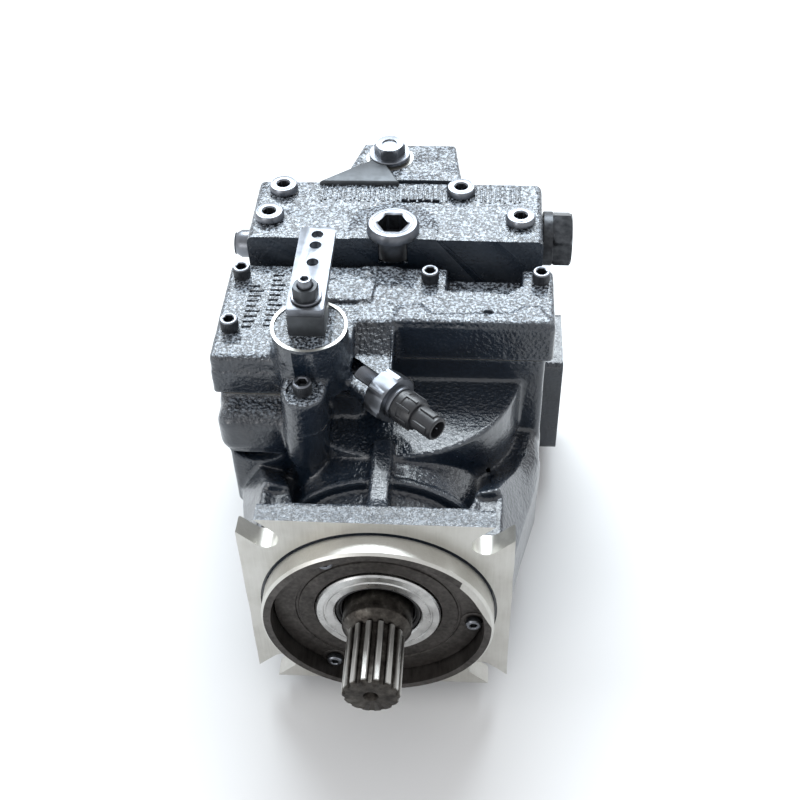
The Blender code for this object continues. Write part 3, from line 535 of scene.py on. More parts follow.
PAINT = cast_paint()
IRON = machined_iron()
ZINC = bright_steel("zinc_steel", (0.185, 0.195, 0.215), 0.26, 0.42)
LEVER = bright_steel("lever_steel", (0.175, 0.185, 0.205), 0.34, 0.46, (0.08, 1.0, 1.0))
GROUND = bright_steel("ground_steel", (0.55, 0.55, 0.56), 0.14, 0.26)
CARRIER = bright_steel("carrier_steel", (0.58, 0.58, 0.57), 0.22, 0.36, (1.0, 1.0, 0.08))
BLACK = screw_black()
SHAFT = worn_shaft()
RECESS = recess_face()
RUBBER = plain("seal_rubber", (0.012, 0.012, 0.013), 0.0, 0.35, 0.6)
BRONZE = plain("bronze", (0.40, 0.25, 0.10), 1.0, 0.25, 0.42)
PLASTIC = plain("switch_plastic", (0.020, 0.021, 0.024), 0.0, 0.28, 0.45, 500)
DARK_IRON = plain("dark_iron", (0.055, 0.06, 0.066), 0.6, 0.35, 0.55)


# ---- Meshes --------------------------------------------------------------------------------------

SHARP = math.radians(32)  # edges that bend more than this are drawn sharp
UP = Matrix.Identity(4)
REARWARD = Matrix.Rotation(-math.pi / 2, 4, "X")
FORWARD = Matrix.Rotation(math.pi / 2, 4, "X")
RIGHT = Matrix.Rotation(math.pi / 2, 4, "Y")
LEFT = Matrix.Rotation(-math.pi / 2, 4, "Y")


def show(name, mesh, body="casing", replaces=(), smooth=True):
    """Puts a mesh in pump millimetres into the scene as a piece. A casting comes with its flat faces
    already told from its smooth ones."""
    mesh.transform(PLACE)
    if smooth:
        mesh.polygons.foreach_set("use_smooth", [True] * len(mesh.polygons))
    mesh.set_sharp_from_angle(angle=SHARP)
    obj = bpy.data.objects.new(name, mesh)
    bpy.context.scene.collection.objects.link(obj)
    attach(obj, body)
    if replaces:
        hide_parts(*replaces)
    return obj


def dress(mesh, *materials):
    """Gives a mesh these materials and no others."""
    mesh.materials.clear()
    for material in materials:
        mesh.materials.append(material)


def mesh_of(bm, name, materials=()):
    mesh = bpy.data.meshes.new(name)
    bm.to_mesh(mesh)
    bm.free()
    for material in materials:
        mesh.materials.append(material)
    return mesh


def show_casting(name, mesh, node):
    return show(name, mesh, replaces=(node,), smooth=False)


def temporary(name, mesh):
    obj = bpy.data.objects.new(name, mesh)
    bpy.context.scene.collection.objects.link(obj)
    return obj


def carve(mesh, tools):
    """The mesh with the tools cut out of it in turn. A tool given as ("UNION", mesh) is joined on."""
    host = temporary("host", mesh)
    parts = []
    for tool in tools:
        operation, tool = tool if isinstance(tool, tuple) else ("DIFFERENCE", tool)
        part = temporary("tool", tool)
        parts.append(part)
        step = host.modifiers.new("step", "BOOLEAN")
        step.operation = operation
        step.object = part
        step.solver = "MANIFOLD"
    graph = bpy.context.evaluated_depsgraph_get()
    made = bpy.data.meshes.new_from_object(host.evaluated_get(graph), depsgraph=graph)
    for obj in (host, *parts):
        bpy.data.objects.remove(obj)
    bm = bmesh.new()
    bm.from_mesh(made)
    bmesh.ops.dissolve_degenerate(bm, dist=0.02, edges=bm.edges)
    bm.to_mesh(made)
    bm.free()
    return made


HEX_SIDE = math.pi / 3


def level_points(level, sides):
    """Points of one level of a stack: (radius, height), or ("hex", distance to the flats, height)
    with the distance that its corners are turned down to, if any, after that."""
    hexagon = level[0] == "hex"
    radius, height, *corner = level[1:] if hexagon else level
    points = []
    for k in range(sides):
        turn = 2 * math.pi * k / sides
        reach = radius
        if hexagon:
            reach = min(radius / math.cos((turn % HEX_SIDE) - HEX_SIDE / 2), *corner, 2 * radius)
        points.append((reach * math.cos(turn), reach * math.sin(turn), height))
    return points


def stack(levels, sides=48, materials=(), place=(0, 0, 0), turn=UP, closed=False):
    """A solid through levels, first to last, capped at both ends. A closed stack joins its last level
    to its first instead, as for a ring."""
    bm = bmesh.new()
    rings = [[bm.verts.new(point) for point in level_points(level, sides)] for level in levels]
    pairs = list(zip(rings, rings[1:]))
    if closed:
        pairs.append((rings[-1], rings[0]))
    for low, high in pairs:
        for k in range(sides):
            j = (k + 1) % sides
            bm.faces.new((low[k], low[j], high[j], high[k]))
    if not closed:
        bm.faces.new(rings[0][::-1])
        bm.faces.new(rings[-1])
    bmesh.ops.recalc_face_normals(bm, faces=bm.faces)
    bm.transform(Matrix.Translation(place) @ turn)
    return mesh_of(bm, "stack", materials)


def chain(*meshes):
    """One mesh of several closed ones, keeping their materials."""
    bm = bmesh.new()
    slots = []
    for mesh in meshes:
        start = len(bm.faces)
        bm.from_mesh(mesh)
        bm.faces.ensure_lookup_table()
        for face in bm.faces[start:]:
            material = mesh.materials[face.material_index] if mesh.materials else None
            if material not in slots:
                slots.append(material)
            face.material_index = slots.index(material)
    return mesh_of(bm, "chain", slots)


def bar(low, high, bevel=0.0, materials=(), turn=UP):
    """A box between two corners, its edges rounded by the bevel."""
    bm = bmesh.new()
    low, high = Vector(low), Vector(high)
    size = Matrix.Diagonal((*(high - low), 1))
    bmesh.ops.create_cube(bm, size=1, matrix=Matrix.Translation((low + high) / 2) @ size)
    if bevel:
        bmesh.ops.bevel(bm, geom=bm.edges[:], offset=bevel, segments=3, affect="EDGES", profile=0.5)
    bm.transform(turn)
    return mesh_of(bm, "bar", materials)


def slab(outline, low, high, axis="Z"):
    """An outline made thick between two levels of the Y or the Z axis."""
    bm = bmesh.new()
    near, far = (
        [bm.verts.new((u, level, v) if axis == "Y" else (u, v, level)) for u, v in outline]
        for level in (low, high)
    )
    for k in range(len(near)):
        j = (k + 1) % len(near)
        bm.faces.new((near[k], near[j], far[j], far[k]))
    bm.faces.new(near[::-1])
    bm.faces.new(far)
    bmesh.ops.recalc_face_normals(bm, faces=bm.faces)
    return mesh_of(bm, "slab")


def pole(axis, centre, radius, low, high, sides=64):
    """A cylinder for Booleans."""
    along = "XYZ".index(axis)
    place = list(centre)
    place.insert(along, 0.0)
    turn = {"X": RIGHT, "Y": REARWARD, "Z": UP}[axis]
    return stack(((radius, low), (radius, high)), sides, (), place, turn)


def smear(values, start, end):
    return np.clip((values - start) / (end - start), 0, 1)


def finish_faces(mesh, rules, materials):
    """Gives each flat or round machined face its material. A rule takes the faces' centres and
    normals, in pump millimetres, and says which faces it covers."""
    dress(mesh, *materials)
    count = len(mesh.polygons)
    centres = np.empty(count * 3, np.float32)
    normals = np.empty(count * 3, np.float32)
    mesh.polygons.foreach_get("center", centres)
    mesh.polygons.foreach_get("normal", normals)
    centres, normals = centres.reshape(-1, 3).T, normals.reshape(-1, 3).T
    index = np.zeros(count, np.int32)
    for number, rule in rules:
        index[rule(*centres, *normals)] = number
    mesh.polygons.foreach_set("material_index", index)
    flat = (index > 0) & (np.abs(normals).max(0) > 0.9995)
    mesh.polygons.foreach_set("use_smooth", ~flat)


def mark_edges(mesh, reach=0.9):
    """Stores how sharply the surface bends outward at each point, for wear on the edges and a painted
    highlight along them.
    """
    count = len(mesh.vertices)
    points = np.empty(count * 3)
    normals = np.empty(count * 3)
    mesh.vertices.foreach_get("co", points)
    mesh.vertices.foreach_get("normal", normals)
    points, normals = points.reshape(-1, 3), normals.reshape(-1, 3)
    ends = np.empty(len(mesh.edges) * 2, np.int32)
    mesh.edges.foreach_get("vertices", ends)
    a, b = ends.reshape(-1, 2).T
    line = points[b] - points[a]
    length = np.linalg.norm(line, axis=1) + 1e-9
    bend = np.einsum("ij,ij->i", line, normals[b] - normals[a]) / length**2
    weight = np.minimum(length, 3.0)
    total = np.bincount(a, bend * weight, count) + np.bincount(b, bend * weight, count)
    share = np.bincount(a, weight, count) + np.bincount(b, weight, count)
    value = np.clip(total / np.maximum(share, 1e-9) * reach, 0, 1)
    attribute = mesh.attributes.new("edge", "FLOAT", "POINT")
    attribute.data.foreach_set("value", value.astype(np.float32))


# ---- The castings --------------------------------------------------------------------------------

AXIS = (0, 0)
FLANGE_BACK = 12.7
BOLT_AT = 57.25  # each flange bolt's distance from the axis, across and up
BODY_REAR = 177
JOINT_Z = 76  # joint of the main casting and the control on top of it
RECESS_R = 58.0
PLATE_SCREWS = [
    (52.5 * math.cos(turn), 52.5 * math.sin(turn)) for turn in (math.radians(a) for a in (-5, 120, 240))
]
LEVER_AT = (-40, 94)
HUMP_PLUG = (-8, 263)
PUMP_SCREWS = ((-60.5, 0), (60.5, 0))
CAST = ((3.6, 0.03), (15.0, 0.13))  # cast unevenness: wavelength and height
STEP = 1.15


def near(a, b, gap=0.06):
    return np.abs(a - b) < gap


def within(u, v, places, radius):
    """Whether each face centre is inside one of the circles."""
    return np.any([np.hypot(u - a, v - b) < radius for a, b in places], axis=0)


def slot_tool(side, up):
    """An open bolt slot, from its round end out through the flange's corner."""
    turn = math.atan2(up, side)
    stadium = arc((0, 0), 7.3, 90, 270, 16) + [(45, -7.3), (45, 7.3)]
    mesh = slab(stadium, -5, 13.6, "Y")
    mesh.transform(Matrix.Translation((side * BOLT_AT, 0, up * BOLT_AT)) @ Matrix.Rotation(-turn, 4, "Y"))
    return mesh


def main_casting():
    c = Casting((-97, -3, -87), (97, 181, 81), STEP)
    inner = 62.6
    corners = [
        (72.3, inner), (inner, 72.3), (-inner, 72.3), (-72.3, inner),
        (-72.3, -inner), (-inner, -72.3), (inner, -72.3), (72.3, -inner),
    ]
    hull = (
        (8, round_box((-62.5, -61.5), (62.5, 29.5), 12, 30)),
        (50, round_box((-76.5, -75.5), (76.5, 27.5), 14, 36)),
        (100, round_box((-89.3, -83.3), (89.3, 19.5), 10, 40)),
        (182, round_box((-89.3, -83.3), (89.3, 19.5), 10, 40)),
    )
    c.add(loft(hull), fillet=0)
    c.add(drum("Y", AXIS, 54, 6, 44, 1), fillet=3)
    c.add(drum("Y", AXIS, 58.0, 40, 110, 1.6), fillet=2)
    c.add(drum("Y", AXIS, 59.6, 38.8, 43.5, 1.2), fillet=2)
    for side in (-1, 1):
        sections = []
        for along, ridge, ridge_z, edge, edge_z in (
            (9.0, 51.5, 70.5, 72.0, 31.0), (45, 63.0, 50.0, 79.4, 22.0),
            (78, 74.6, 28.6, 86.4, 12.0), (105, 79.6, 11.8, 89.0, 5.0),
        ):
            inner_x = ridge - 12
            outline = (inner_x, -10), (edge, -10), (edge, edge_z), (ridge, ridge_z), (inner_x, ridge_z - 4)
            sections.append((along, [(side * x, z) for x, z in outline]))
        c.add(loft(sections, 1.3), fillet=4)
    shoulder = arc((3, 130), 73.6, 180, 360, 40) + [(76.6, 182), (-70.6, 182)]
    c.add(prism("Z", shoulder, -20, 59.8, 1.5), fillet=2)
    c.add(block((-89.4, 119.2, 0), (89.4, 182, 84), 2.5), fillet=3)
    c.add(block((-93.4, 68.5, 44.8), (-30, 182, 74.2), 8.5), fillet=3)
    c.add(block((-88.2, 70.8, 2), (-41, 160, 48), 2.5), fillet=3)
    c.add(block((-93.2, 87, 46), (-13.6, 169, 84), 3), fillet=4)
    ear_root = limb((-42.5, 66.8, 66), (-41, 62.5, 30), 11.2, 7.5)
    c.add(drum("Z", EAR, 11.7, 52, 80, 1.5), ear_root, fillet=4)
    c.add(block((-5.3, 8, 44), (5.3, 66, 65.2), 1.6), fillet=4)
    c.add(limb((0, 8, 59), (0, 22, 56), 12, 5), fillet=6)
    c.add(prism("Y", corners, -4, FLANGE_BACK, 1.2), fillet=3)
    for side in (-1, 1):
        for up in (-1, 1):
            x, z = side * BOLT_AT, up * BOLT_AT
            outer = drum("Y", (x + side * 14, z + up * 14), 19, FLANGE_BACK, 46, 3)
            c.cut(drum("Y", (x, z), 14.3, FLANGE_BACK, 44, 2), outer, fillet=3)
    c.roughen(CAST, 11)
    c.cut(drum("X", (105, 0), 50.9, -44.5, 44.5, 0.5), fillet=0.5)
    c.cut(
        drum("Y", AXIS, 68, 122, 190, 0.5),
        prism("Y", arc(AXIS, 63.6, 124, 416, 60), 81.8, 130, 0.3),
        block((-60.5, 77.6, 8), (-38, 130, 60), 0.5),
        block((-74.5, 80, 46.5), (-50, 130, 61.5), 0.5),
        drum("Y", (-72, 54), 16.4, 71.2, 190, 0.5),
        block((-28, 126, 55), (28, 158, 90), 1),
        fillet=0.5,
    )
    mesh = c.mesh("main_casting")
    tools = [
        bar((-120, -30, -120), (120, 0, 120)),
        bar((-120, BODY_REAR, -120), (120, 200, 120)),
        bar((-120, 60, JOINT_Z), (120, 200, 120)),
        ("UNION", stack(((61.5, 3), (63.4, 3), (63.4, -11.3), (62.0, -12.7)), 144, turn=REARWARD)),
        stack(((63.1, -0.5), (65.0, -0.5), (64.8, 0.9), (63.1, 0.9)), 144, turn=REARWARD, closed=True),
        pole("Y", AXIS, RECESS_R, -20, 6, 144),
        pole("Y", AXIS, 36.0, 0, 37.5, 96),
        pole("Y", AXIS, 22.0, 30, 70, 64),
    ]
    tools += [slot_tool(side, up) for side in (-1, 1) for up in (-1, 1)]
    mesh = carve(mesh, tools)

    def flange(x, y, z, nx, ny, nz):
        return (near(y, 0) & (ny < -0.9)) | ((y < 0) & (np.hypot(x, z) > RECESS_R + 0.2))

    def recess(x, y, z, nx, ny, nz):
        out = np.hypot(x, z)
        return ((out < RECESS_R + 0.3) & (y < 6.3) & ~near(y, 0)) | ((out < 36.2) & (y < 70) & (y > 1))

    def slot_walls(x, y, z, nx, ny, nz):
        u = (np.abs(x) + np.abs(z)) / math.sqrt(2) - BOLT_AT * math.sqrt(2)
        v = (np.abs(x) - np.abs(z)) / math.sqrt(2)
        reach = np.where(u < 0, np.hypot(u, v), np.abs(v))
        return near(reach, 7.25, 0.12) & (y < 13.7) & (y > 0) & (np.abs(ny) < 0.3)

    def joints(x, y, z, nx, ny, nz):
        return (near(z, JOINT_Z) & (nz > 0.9)) | (near(y, BODY_REAR) & (ny > 0.9))

    finish_faces(mesh, ((1, joints), (1, flange), (1, slot_walls), (2, recess)), (PAINT, IRON, RECESS))
    mark_edges(mesh)
    return show_casting("main_casting", mesh, "main_housing")


SWITCH_TURN = math.radians(-42)
SWITCH_AT = Vector((-11, 91, 86))
SWITCH_WAY = Vector((math.cos(SWITCH_TURN), math.sin(SWITCH_TURN), 0))
EAR = (-42, 67)
CONTROL_SCREWS = ((-88, 158), (-88, 112), EAR, (22, 158), (86, 159))


def toward(direction):
    """The turn that carries +Z onto a direction."""
    return Vector((0, 0, 1)).rotation_difference(direction).to_matrix().to_4x4()


def control_casting():
    c = Casting((-99, 52, 70), (97, 174, 125), min(STEP, 0.95))
    c.add(block((-96.6, 88.5, 60), (3.6, 170.6, 101.7), 3.4), fillet=0)
    c.add(block((-18, 119.4, 60), (93.6, 170.6, 101.5), 3.0), fillet=5)
    c.add(drum("Z", LEVER_AT, 21.0, 84, 128, 1.5), fillet=5)
    c.add(drum("Z", EAR, 11.7, 60, 98.6, 1.6), block((-53.5, 67, 60), (-30.5, 95, 98.4), 2.5), fillet=4)
    start, end = SWITCH_AT - SWITCH_WAY * 10, SWITCH_AT + SWITCH_WAY * 12
    c.add(limb(start, end, 11.6, 11.6), fillet=4)
    shelf = [(70, 89.5), (106, 89.5), (118.6, 101), (118.6, 134), (70, 134)]
    c.cut(prism("X", shelf, -18.5, 2.5, 1.5), fillet=2)
    notch = [(32, 151), (58, 151), (66, 149), (75, 156), (76, 182), (32, 182)]
    c.cut(prism("Z", notch, 92, 112, 2.5), fillet=2)
    c.add(prism("Z", [(-38, 136), (-10, 136), (-9, 157), (-37, 157)], 96, 104.3, 1.6), fillet=1)
    band = [
        (2, 121), (6, 134.6), (17, 136.7), (24.4, 127.8), (69, 129.9),
        (76, 136), (85, 136.5), (91, 124), (90, 120.3), (3, 120.2),
    ]
    c.add(prism("Z", band, 96, 103.7, 1.2), fillet=1)
    c.cut(drum("Z", (56, 130.5), 3.2, 99, 108, 0.5), fillet=1)
    c.add(prism("X", [(87.8, 60), (88.4, 90), (96, 84), (97, 60)], -95.5, -18.5, 0.8), fillet=4)
    c.roughen(((2.8, 0.06), (15.0, 0.14)), 23)
    c.cut(
        block((-78, 100, 66), (-24, 160, 92.5), 1),
        block((-30, 127, 66), (72, 160, 88.5), 1),
        block((-54, 92, 66), (-26, 120, 88.5), 1),
        fillet=0.5,
    )
    mesh = c.mesh("control_casting")
    spot = toward(SWITCH_WAY)
    tools = [
        bar((-120, 40, 50), (120, 200, JOINT_Z + 0.3)),
        bar((-120, 40, 122), (120, 200, 140)),
        bar((-120, 170.8, 50), (120, 200, 140)),
        pole("Z", LEVER_AT, 19.2, 121.2, 130, 72),
        pole("Z", LEVER_AT, 7.5, 80, 130, 48),
        stack(((15.6, 11.4), (15.6, 60)), 64, (), SWITCH_AT, spot),
        stack(((6.5, -20), (6.5, 30)), 32, (), SWITCH_AT, spot),
        pole("Z", EAR, 9.0, 98.0, 120, 48),
    ]
    tools += [pole("Z", at, 7.2, 101.5, 120, 48) for at in CONTROL_SCREWS if at != EAR]
    mesh = carve(mesh, tools)

    def bright(x, y, z, nx, ny, nz):
        return (near(z, 122) & (nz > 0.9)) | (near(z, JOINT_Z + 0.3) & (nz < -0.9))

    finish_faces(mesh, ((1, bright),), (PAINT, IRON))
    mark_edges(mesh)
    return show_casting("control_casting", mesh, "control_housing")


CAP_REAR = 238
CAP_TOP = 116
CAP_PLUG = (-1, 186)
GAUGE_PLUGS = ((-76, 198), (-71, 226), (38, 226), (74, 198))
CAP_BOLTS = ((-80, 18), (80, 18), (-70, -66), (70, -66))
VALVE_AT = (210, 94)
LEFT_PLUG_AT = (198, 95)
PORT_AT = (207, -25)
PORT_FACE = 106


def end_cap_casting():
    c = Casting((-109, 176, -87), (109, 241, 119), STEP)
    c.add(block((-87.5, 174, -83.4), (87.5, 237.4, 115.4), 4), fillet=0)
    c.add(drum("Z", CAP_PLUG, 24, 100, 120, 1.2), fillet=4)
    c.add(block((-93.2, 174, 37.5), (-78, 191.5, 73.5), 2), fillet=4)
    for side in (-1, 1):
        x0, x1 = sorted((side * 70, side * 110))
        c.add(block((x0, 181.3, -64.6), (x1, 232.7, 14.6), 3.5), fillet=6)
        c.cut(drum("X", (232.5, 60), 15, min(side * 78, side * 92), max(side * 78, side * 92), 4), fillet=4)
    c.cut(block((2, 216.2, 112), (25, 218.6, 122), 0.8), fillet=0.6)
    c.roughen(CAST, 31)
    mesh = c.mesh("end_cap_casting")
    tools = [
        bar((-130, 150, -130), (130, 178.3, 140)),
        bar((-130, CAP_REAR, -130), (130, 260, 140)),
        bar((-130, 150, CAP_TOP), (130, 260, 140)),
        bar((-130, 150, -130), (-PORT_FACE, 260, 140)),
        bar((PORT_FACE, 150, -130), (130, 260, 140)),
        pole("Y", AXIS, 21.5, 170, 200, 64),
        pole("Y", AXIS, 11.5, 190, 250, 48),
        pole("Z", CAP_PLUG, 11.6, 98, 130, 48),
        pole("X", VALVE_AT, 19.5, 87.2, 130, 64),
        pole("X", VALVE_AT, 11.2, 62, 130, 48),
        pole("X", LEFT_PLUG_AT, 10.5, -130, -87.0, 48),
        pole("X", LEFT_PLUG_AT, 5.6, -130, -74, 32),
    ]
    tools += [pole("Z", at, 10.9, 115.0, 130, 48) for at in GAUGE_PLUGS]
    tools += [pole("Z", at, 5.6, 102, 130, 32) for at in GAUGE_PLUGS]
    tools += [pole("Y", at, 13.5, 236.6, 260, 48) for at in CAP_BOLTS]
    tools += [pole("Y", at, 6.6, 170, 260, 32) for at in CAP_BOLTS]
    for side in (-1, 1):
        x0, x1 = sorted((side * 30, side * 112))
        tools.append(pole("X", PORT_AT, 12.5, x0, x1, 64))
        tools.append(pole("Y", (side * 35, -16), 8.5, 170, 208, 32))
        x0, x1 = sorted((side * 86, side * 112))
        for along in (-13.1, 13.1):
            for up in (-26.2, 26.2):
                tools.append(pole("X", (PORT_AT[0] + along, PORT_AT[1] + up), 5.0, x0, x1, 32))
    mesh = carve(mesh, tools)

    def machined(x, y, z, nx, ny, nz):
        across = np.abs(nx) > 0.9
        ports = near(np.abs(x), PORT_FACE) & across
        bores = (np.abs(nx) < 0.2) & (np.abs(x) > 60) & within(y, z, (PORT_AT,), 12.6)
        seats = near(y, 236.6) & (ny > 0.9) & within(x, z, CAP_BOLTS, 13.6)
        faces = near(y, CAP_REAR) & (ny > 0.9)
        sides = (near(x, 87.2) | near(x, -87.0)) & across & within(y, z, (VALVE_AT, LEFT_PLUG_AT), 19.6)
        return ports | bores | seats | faces | sides

    finish_faces(mesh, ((1, machined),), (PAINT, IRON))
    mark_edges(mesh)
    return show_casting("end_cap_casting", mesh, "end_cap")


def charge_pump_casting():
    c = Casting((-73, 236, -59), (73, 286, 119), STEP)
    c.add(drum("Y", AXIS, 55.6, 230, 282.6, 3.5), fillet=0)
    c.add(prism("Z", [(-38.6, 230), (39.6, 230), (33.6, 278.6), (-25.6, 278.6)], -4, 115.5, 3), fillet=8)
    ears = round_box((-69.5, -21.5), (69.5, 21.5), 21, 21)
    c.add(prism("Y", ears, 230, 255.6, 2.5), fillet=6)
    c.add(drum("Y", AXIS, 34, 276, 282.7, 1.2), fillet=3)
    c.roughen(CAST, 47)
    c.cut(drum("Y", (1.9, 0), 26.3, 220, 258.3, 0.3), drum("Y", AXIS, 10.5, 250, 272, 0.3), fillet=0.3)
    mesh = c.mesh("charge_pump_casting")
    tools = [
        bar((-100, 200, -100), (100, CAP_REAR + 0.3, 130)),
        bar((-100, 283, -100), (100, 300, 130)),
        bar((-100, 200, CAP_TOP), (100, 300, 130)),
        pole("Z", HUMP_PLUG, 15.0, 115.2, 130, 48),
        pole("Z", HUMP_PLUG, 9.2, 94, 130, 32),
    ]
    tools += [pole("Y", at, 8.6, 255.0, 300, 40) for at in PUMP_SCREWS]
    mesh = carve(mesh, tools)

    def machined(x, y, z, nx, ny, nz):
        plug_seat = near(z, 115.2) & (nz > 0.98) & within(x, y, (HUMP_PLUG,), 15.1)
        return plug_seat | (near(y, 255.0) & (ny > 0.9) & within(x, z, PUMP_SCREWS, 8.7))

    finish_faces(mesh, ((1, machined),), (PAINT, IRON))
    mark_edges(mesh)
    return show_casting("charge_pump_casting", mesh, "charge_pump_housing")


# ---- Screws, plugs and fittings ------------------------------------------------------------------


def banded(mesh, rule, materials):
    """Gives a part two finishes. The rule takes a face, before the part is put in place, and says
    whether it has the second."""
    for material in materials:
        mesh.materials.append(material)
    for face in mesh.polygons:
        face.material_index = int(rule(face))
    return mesh


RIBS = 30
RIB_HEIGHT = 0.13


def ribs_round(radius, low, high):
    """The ribs round a socket head."""
    made = []
    for k in range(RIBS):
        turn = Matrix.Rotation(2 * math.pi * k / RIBS, 4, "Z")
        rib = bar((radius - 0.6, -0.35, low), (radius + RIB_HEIGHT, 0.35, high), 0.12, (BLACK, ZINC), turn)
        made.append(rib)
    return made


def socket_screw(name, nodes, place, turn, head, height, shank, length, key):
    """A socket-head screw: a chamfered head with a hexagon socket, fine ribs and a plain shank."""
    levels = (
        (shank, -length), (shank, 0.0), (head - 0.3, 0.0), (head, 0.35),
        (head, height - 0.7), (head - 0.55, height - 0.08), (head - 0.9, height),
        (key * 1.30, height), ("hex", key, height - 0.45), ("hex", key, height * 0.42),
        ("hex", key * 0.2, height * 0.30),
    )

    def worn_bright(face):
        x, y, z = face.center
        return z > height - 1.2 and math.hypot(x, y) > key * 1.02

    screw = banded(stack(levels), worn_bright, (BLACK, ZINC))
    whole = chain(screw, *ribs_round(head, 0.7, height - 1.3))
    whole.transform(Matrix.Translation(place) @ turn)
    return show(name, whole, replaces=nodes)


def flat_plug(name, node, place, turn, head, height, thread, length, key):
    """A turned plug with a hexagon socket, turning marks and a dark bore: the socket is painted black as
    painted shade.
    """
    levels = (
        (thread, -length), (thread, 0.0), (head, 0.0), (head, height * 0.62),
        (head - height * 0.22, height - 0.1), (head - height * 0.22 - 0.35, height),
        (head * 0.80, height), (head * 0.78, height - 0.22), (head * 0.74, height - 0.22),
        (head * 0.72, height), (key * 1.26, height), ("hex", key, height - 0.8),
        ("hex", key, -length * 0.35), ("hex", key * 0.2, -length * 0.45),
    )

    def socket_painted_shade(face):
        x, y, z = face.center
        return z < height - 0.9 and math.hypot(x, y) < key * 1.06

    # The socket faces take the black finish: painted shade in the hollow of the socket.
    plug = banded(stack(levels, 72), socket_painted_shade, (ZINC, BLACK))
    plug.transform(Matrix.Translation(place) @ turn)
    return show(name, plug, replaces=(node,))


def hex_plug(name, node, place, turn, flats, hex_height, collar, collar_height, thread, length, cap, finish):
    """A plug with an outside hexagon, its corners turned away, on a washer collar."""
    top = collar_height + hex_height
    corner = flats / math.cos(math.pi / 6)
    levels = (
        (thread, -length), (thread, 0), (collar - 0.4, 0), (collar, 0.4),
        (collar, collar_height - 0.4), (collar - 0.4, collar_height),
        ("hex", flats, collar_height, collar - 0.5), ("hex", flats, collar_height + 1.0, corner),
        ("hex", flats, top - 1.3, corner), ("hex", flats, top - 0.1, flats + 0.2),
        (flats - 1.0, top), (cap, top), (cap * 0.92, top - 0.9), (cap * 0.5, top - 0.9),
    )
    plug = stack(levels, 96, (finish,))
    plug.transform(Matrix.Translation(place) @ turn)
    return show(name, plug, replaces=(node,))


def fasteners():
    lid_screw = (5.0, 7.5, 2.9, 20, 2.7)  # head radius and height, shank radius and length, key
    cap_screw = (9.8, 12.5, 5.8, 40, 5.5)
    plate_screw = (4.2, 3.8, 2.4, 8, 1.9)
    pump_screw = (7.0, 8.5, 4.0, 12, 4.0)
    for index, (x, y) in enumerate(CONTROL_SCREWS, 1):
        place = (x, y, 98.8 if (x, y) == EAR else 102.3)
        socket_screw(f"lid_screw_{index}", (f"control_screw_{index}",), place, UP, *lid_screw)
    for index, (x, z) in enumerate(CAP_BOLTS, 1):
        place = (x, 238.3, z)
        socket_screw(f"cap_screw_{index}", (f"end_cap_bolt_{index}",), place, REARWARD, *cap_screw)
    for index, (x, z) in enumerate(PLATE_SCREWS, 1):
        place = (x, -3.3, z)
        socket_screw(f"plate_screw_{index}", (f"carrier_screw_{index}",), place, FORWARD, *plate_screw)
    for index, (x, z) in enumerate(PUMP_SCREWS, 1):
        socket_screw(f"pump_screw_{index}", (), (x, 255.1, z), REARWARD, *pump_screw)
    flat_plug("cap_plug", "main_port_plug", (*CAP_PLUG, 116.3), UP, 15.5, 6.0, 11.2, 15.5, 8.0)
    for index, (x, y) in enumerate(GAUGE_PLUGS, 1):
        flat_plug(f"port_plug_{index}", f"gauge_plug_{index}", (x, y, 116.3), UP, 8.8, 4.0, 5.2, 12, 3.5)
    flat_plug("left_plug", "side_plug", (-88.3, *LEFT_PLUG_AT), LEFT, 8.5, 10.5, 5.2, 12, 3.5)
    valve = (15.1, 11.5, 16.5, 6.0, 10.8, 22, 9.0)  # flats, hexagon, collar, thread and cap
    hex_plug("valve_cap", "relief_valve", (88.3, *VALVE_AT), RIGHT, *valve, BLACK)
    hump = (8.5, 6.5, 13.2, 3.0, 8.8, 16, 4.6)
    hex_plug("hump_plug", "charge_relief_plug", (*HUMP_PLUG, 116.3), UP, *hump, ZINC)


def front_parts():
    plate = stack(
        ((57.5, 5.6), (57.5, -2.2), (56.9, -3.0), (45.6, -3.0), (45.2, -2.3),
         (44.0, -2.3), (43.6, -3.0), (35.2, -3.0), (35.0, 5.6)),
        144, (RECESS,), turn=REARWARD, closed=True,
    )
    collar = ((7.2, 0), (7.2, 0.35), (6.8, 0.55), (5.2, 0.55), (5.0, 0))
    rings = [stack(collar, 48, (RECESS,), (x, -3.0, z), FORWARD, closed=True) for x, z in PLATE_SCREWS]
    show("front_cover", chain(plate, *rings), replaces=("front_plate",))
    carrier = stack(
        ((34.4, 12.5), (34.4, -4.0), (33.6, -5.0), (30.2, -5.2), (29.8, -4.6),
         (28.9, -4.6), (28.5, -5.2), (24.6, -5.2), (23.7, -4.4), (23.7, 12.5)),
        128, (CARRIER,), turn=REARWARD, closed=True,
    )
    show("seal_holder", carrier, replaces=("seal_carrier",))
    lip = stack(
        ((23.2, 6), (23.2, -3.6), (22.4, -4.0), (21.4, -3.4), (21.0, -2.2),
         (20.4, -2.0), (19.8, 0.2), (19.7, 1.5), (20.6, 6)),
        96, (RUBBER,), turn=REARWARD, closed=True,
    )
    show("lip_seal", lip, replaces=("shaft_seal",))


def bevelled(mesh, width, angle=30, segments=3):
    """The mesh with its edges that bend more than the angle rounded."""
    bm = bmesh.new()
    bm.from_mesh(mesh)
    bmesh.ops.dissolve_limit(bm, angle_limit=0.01, verts=bm.verts, edges=bm.edges)
    least = math.radians(angle)
    edges = [edge for edge in bm.edges if len(edge.link_faces) == 2 and edge.calc_face_angle(0) > least]
    bmesh.ops.bevel(
        bm, geom=edges, offset=width, segments=segments, affect="EDGES", profile=0.5, clamp_overlap=True
    )
    bm.to_mesh(mesh)
    bm.free()
    return mesh


TEETH = 14
CREST_R = 15.55


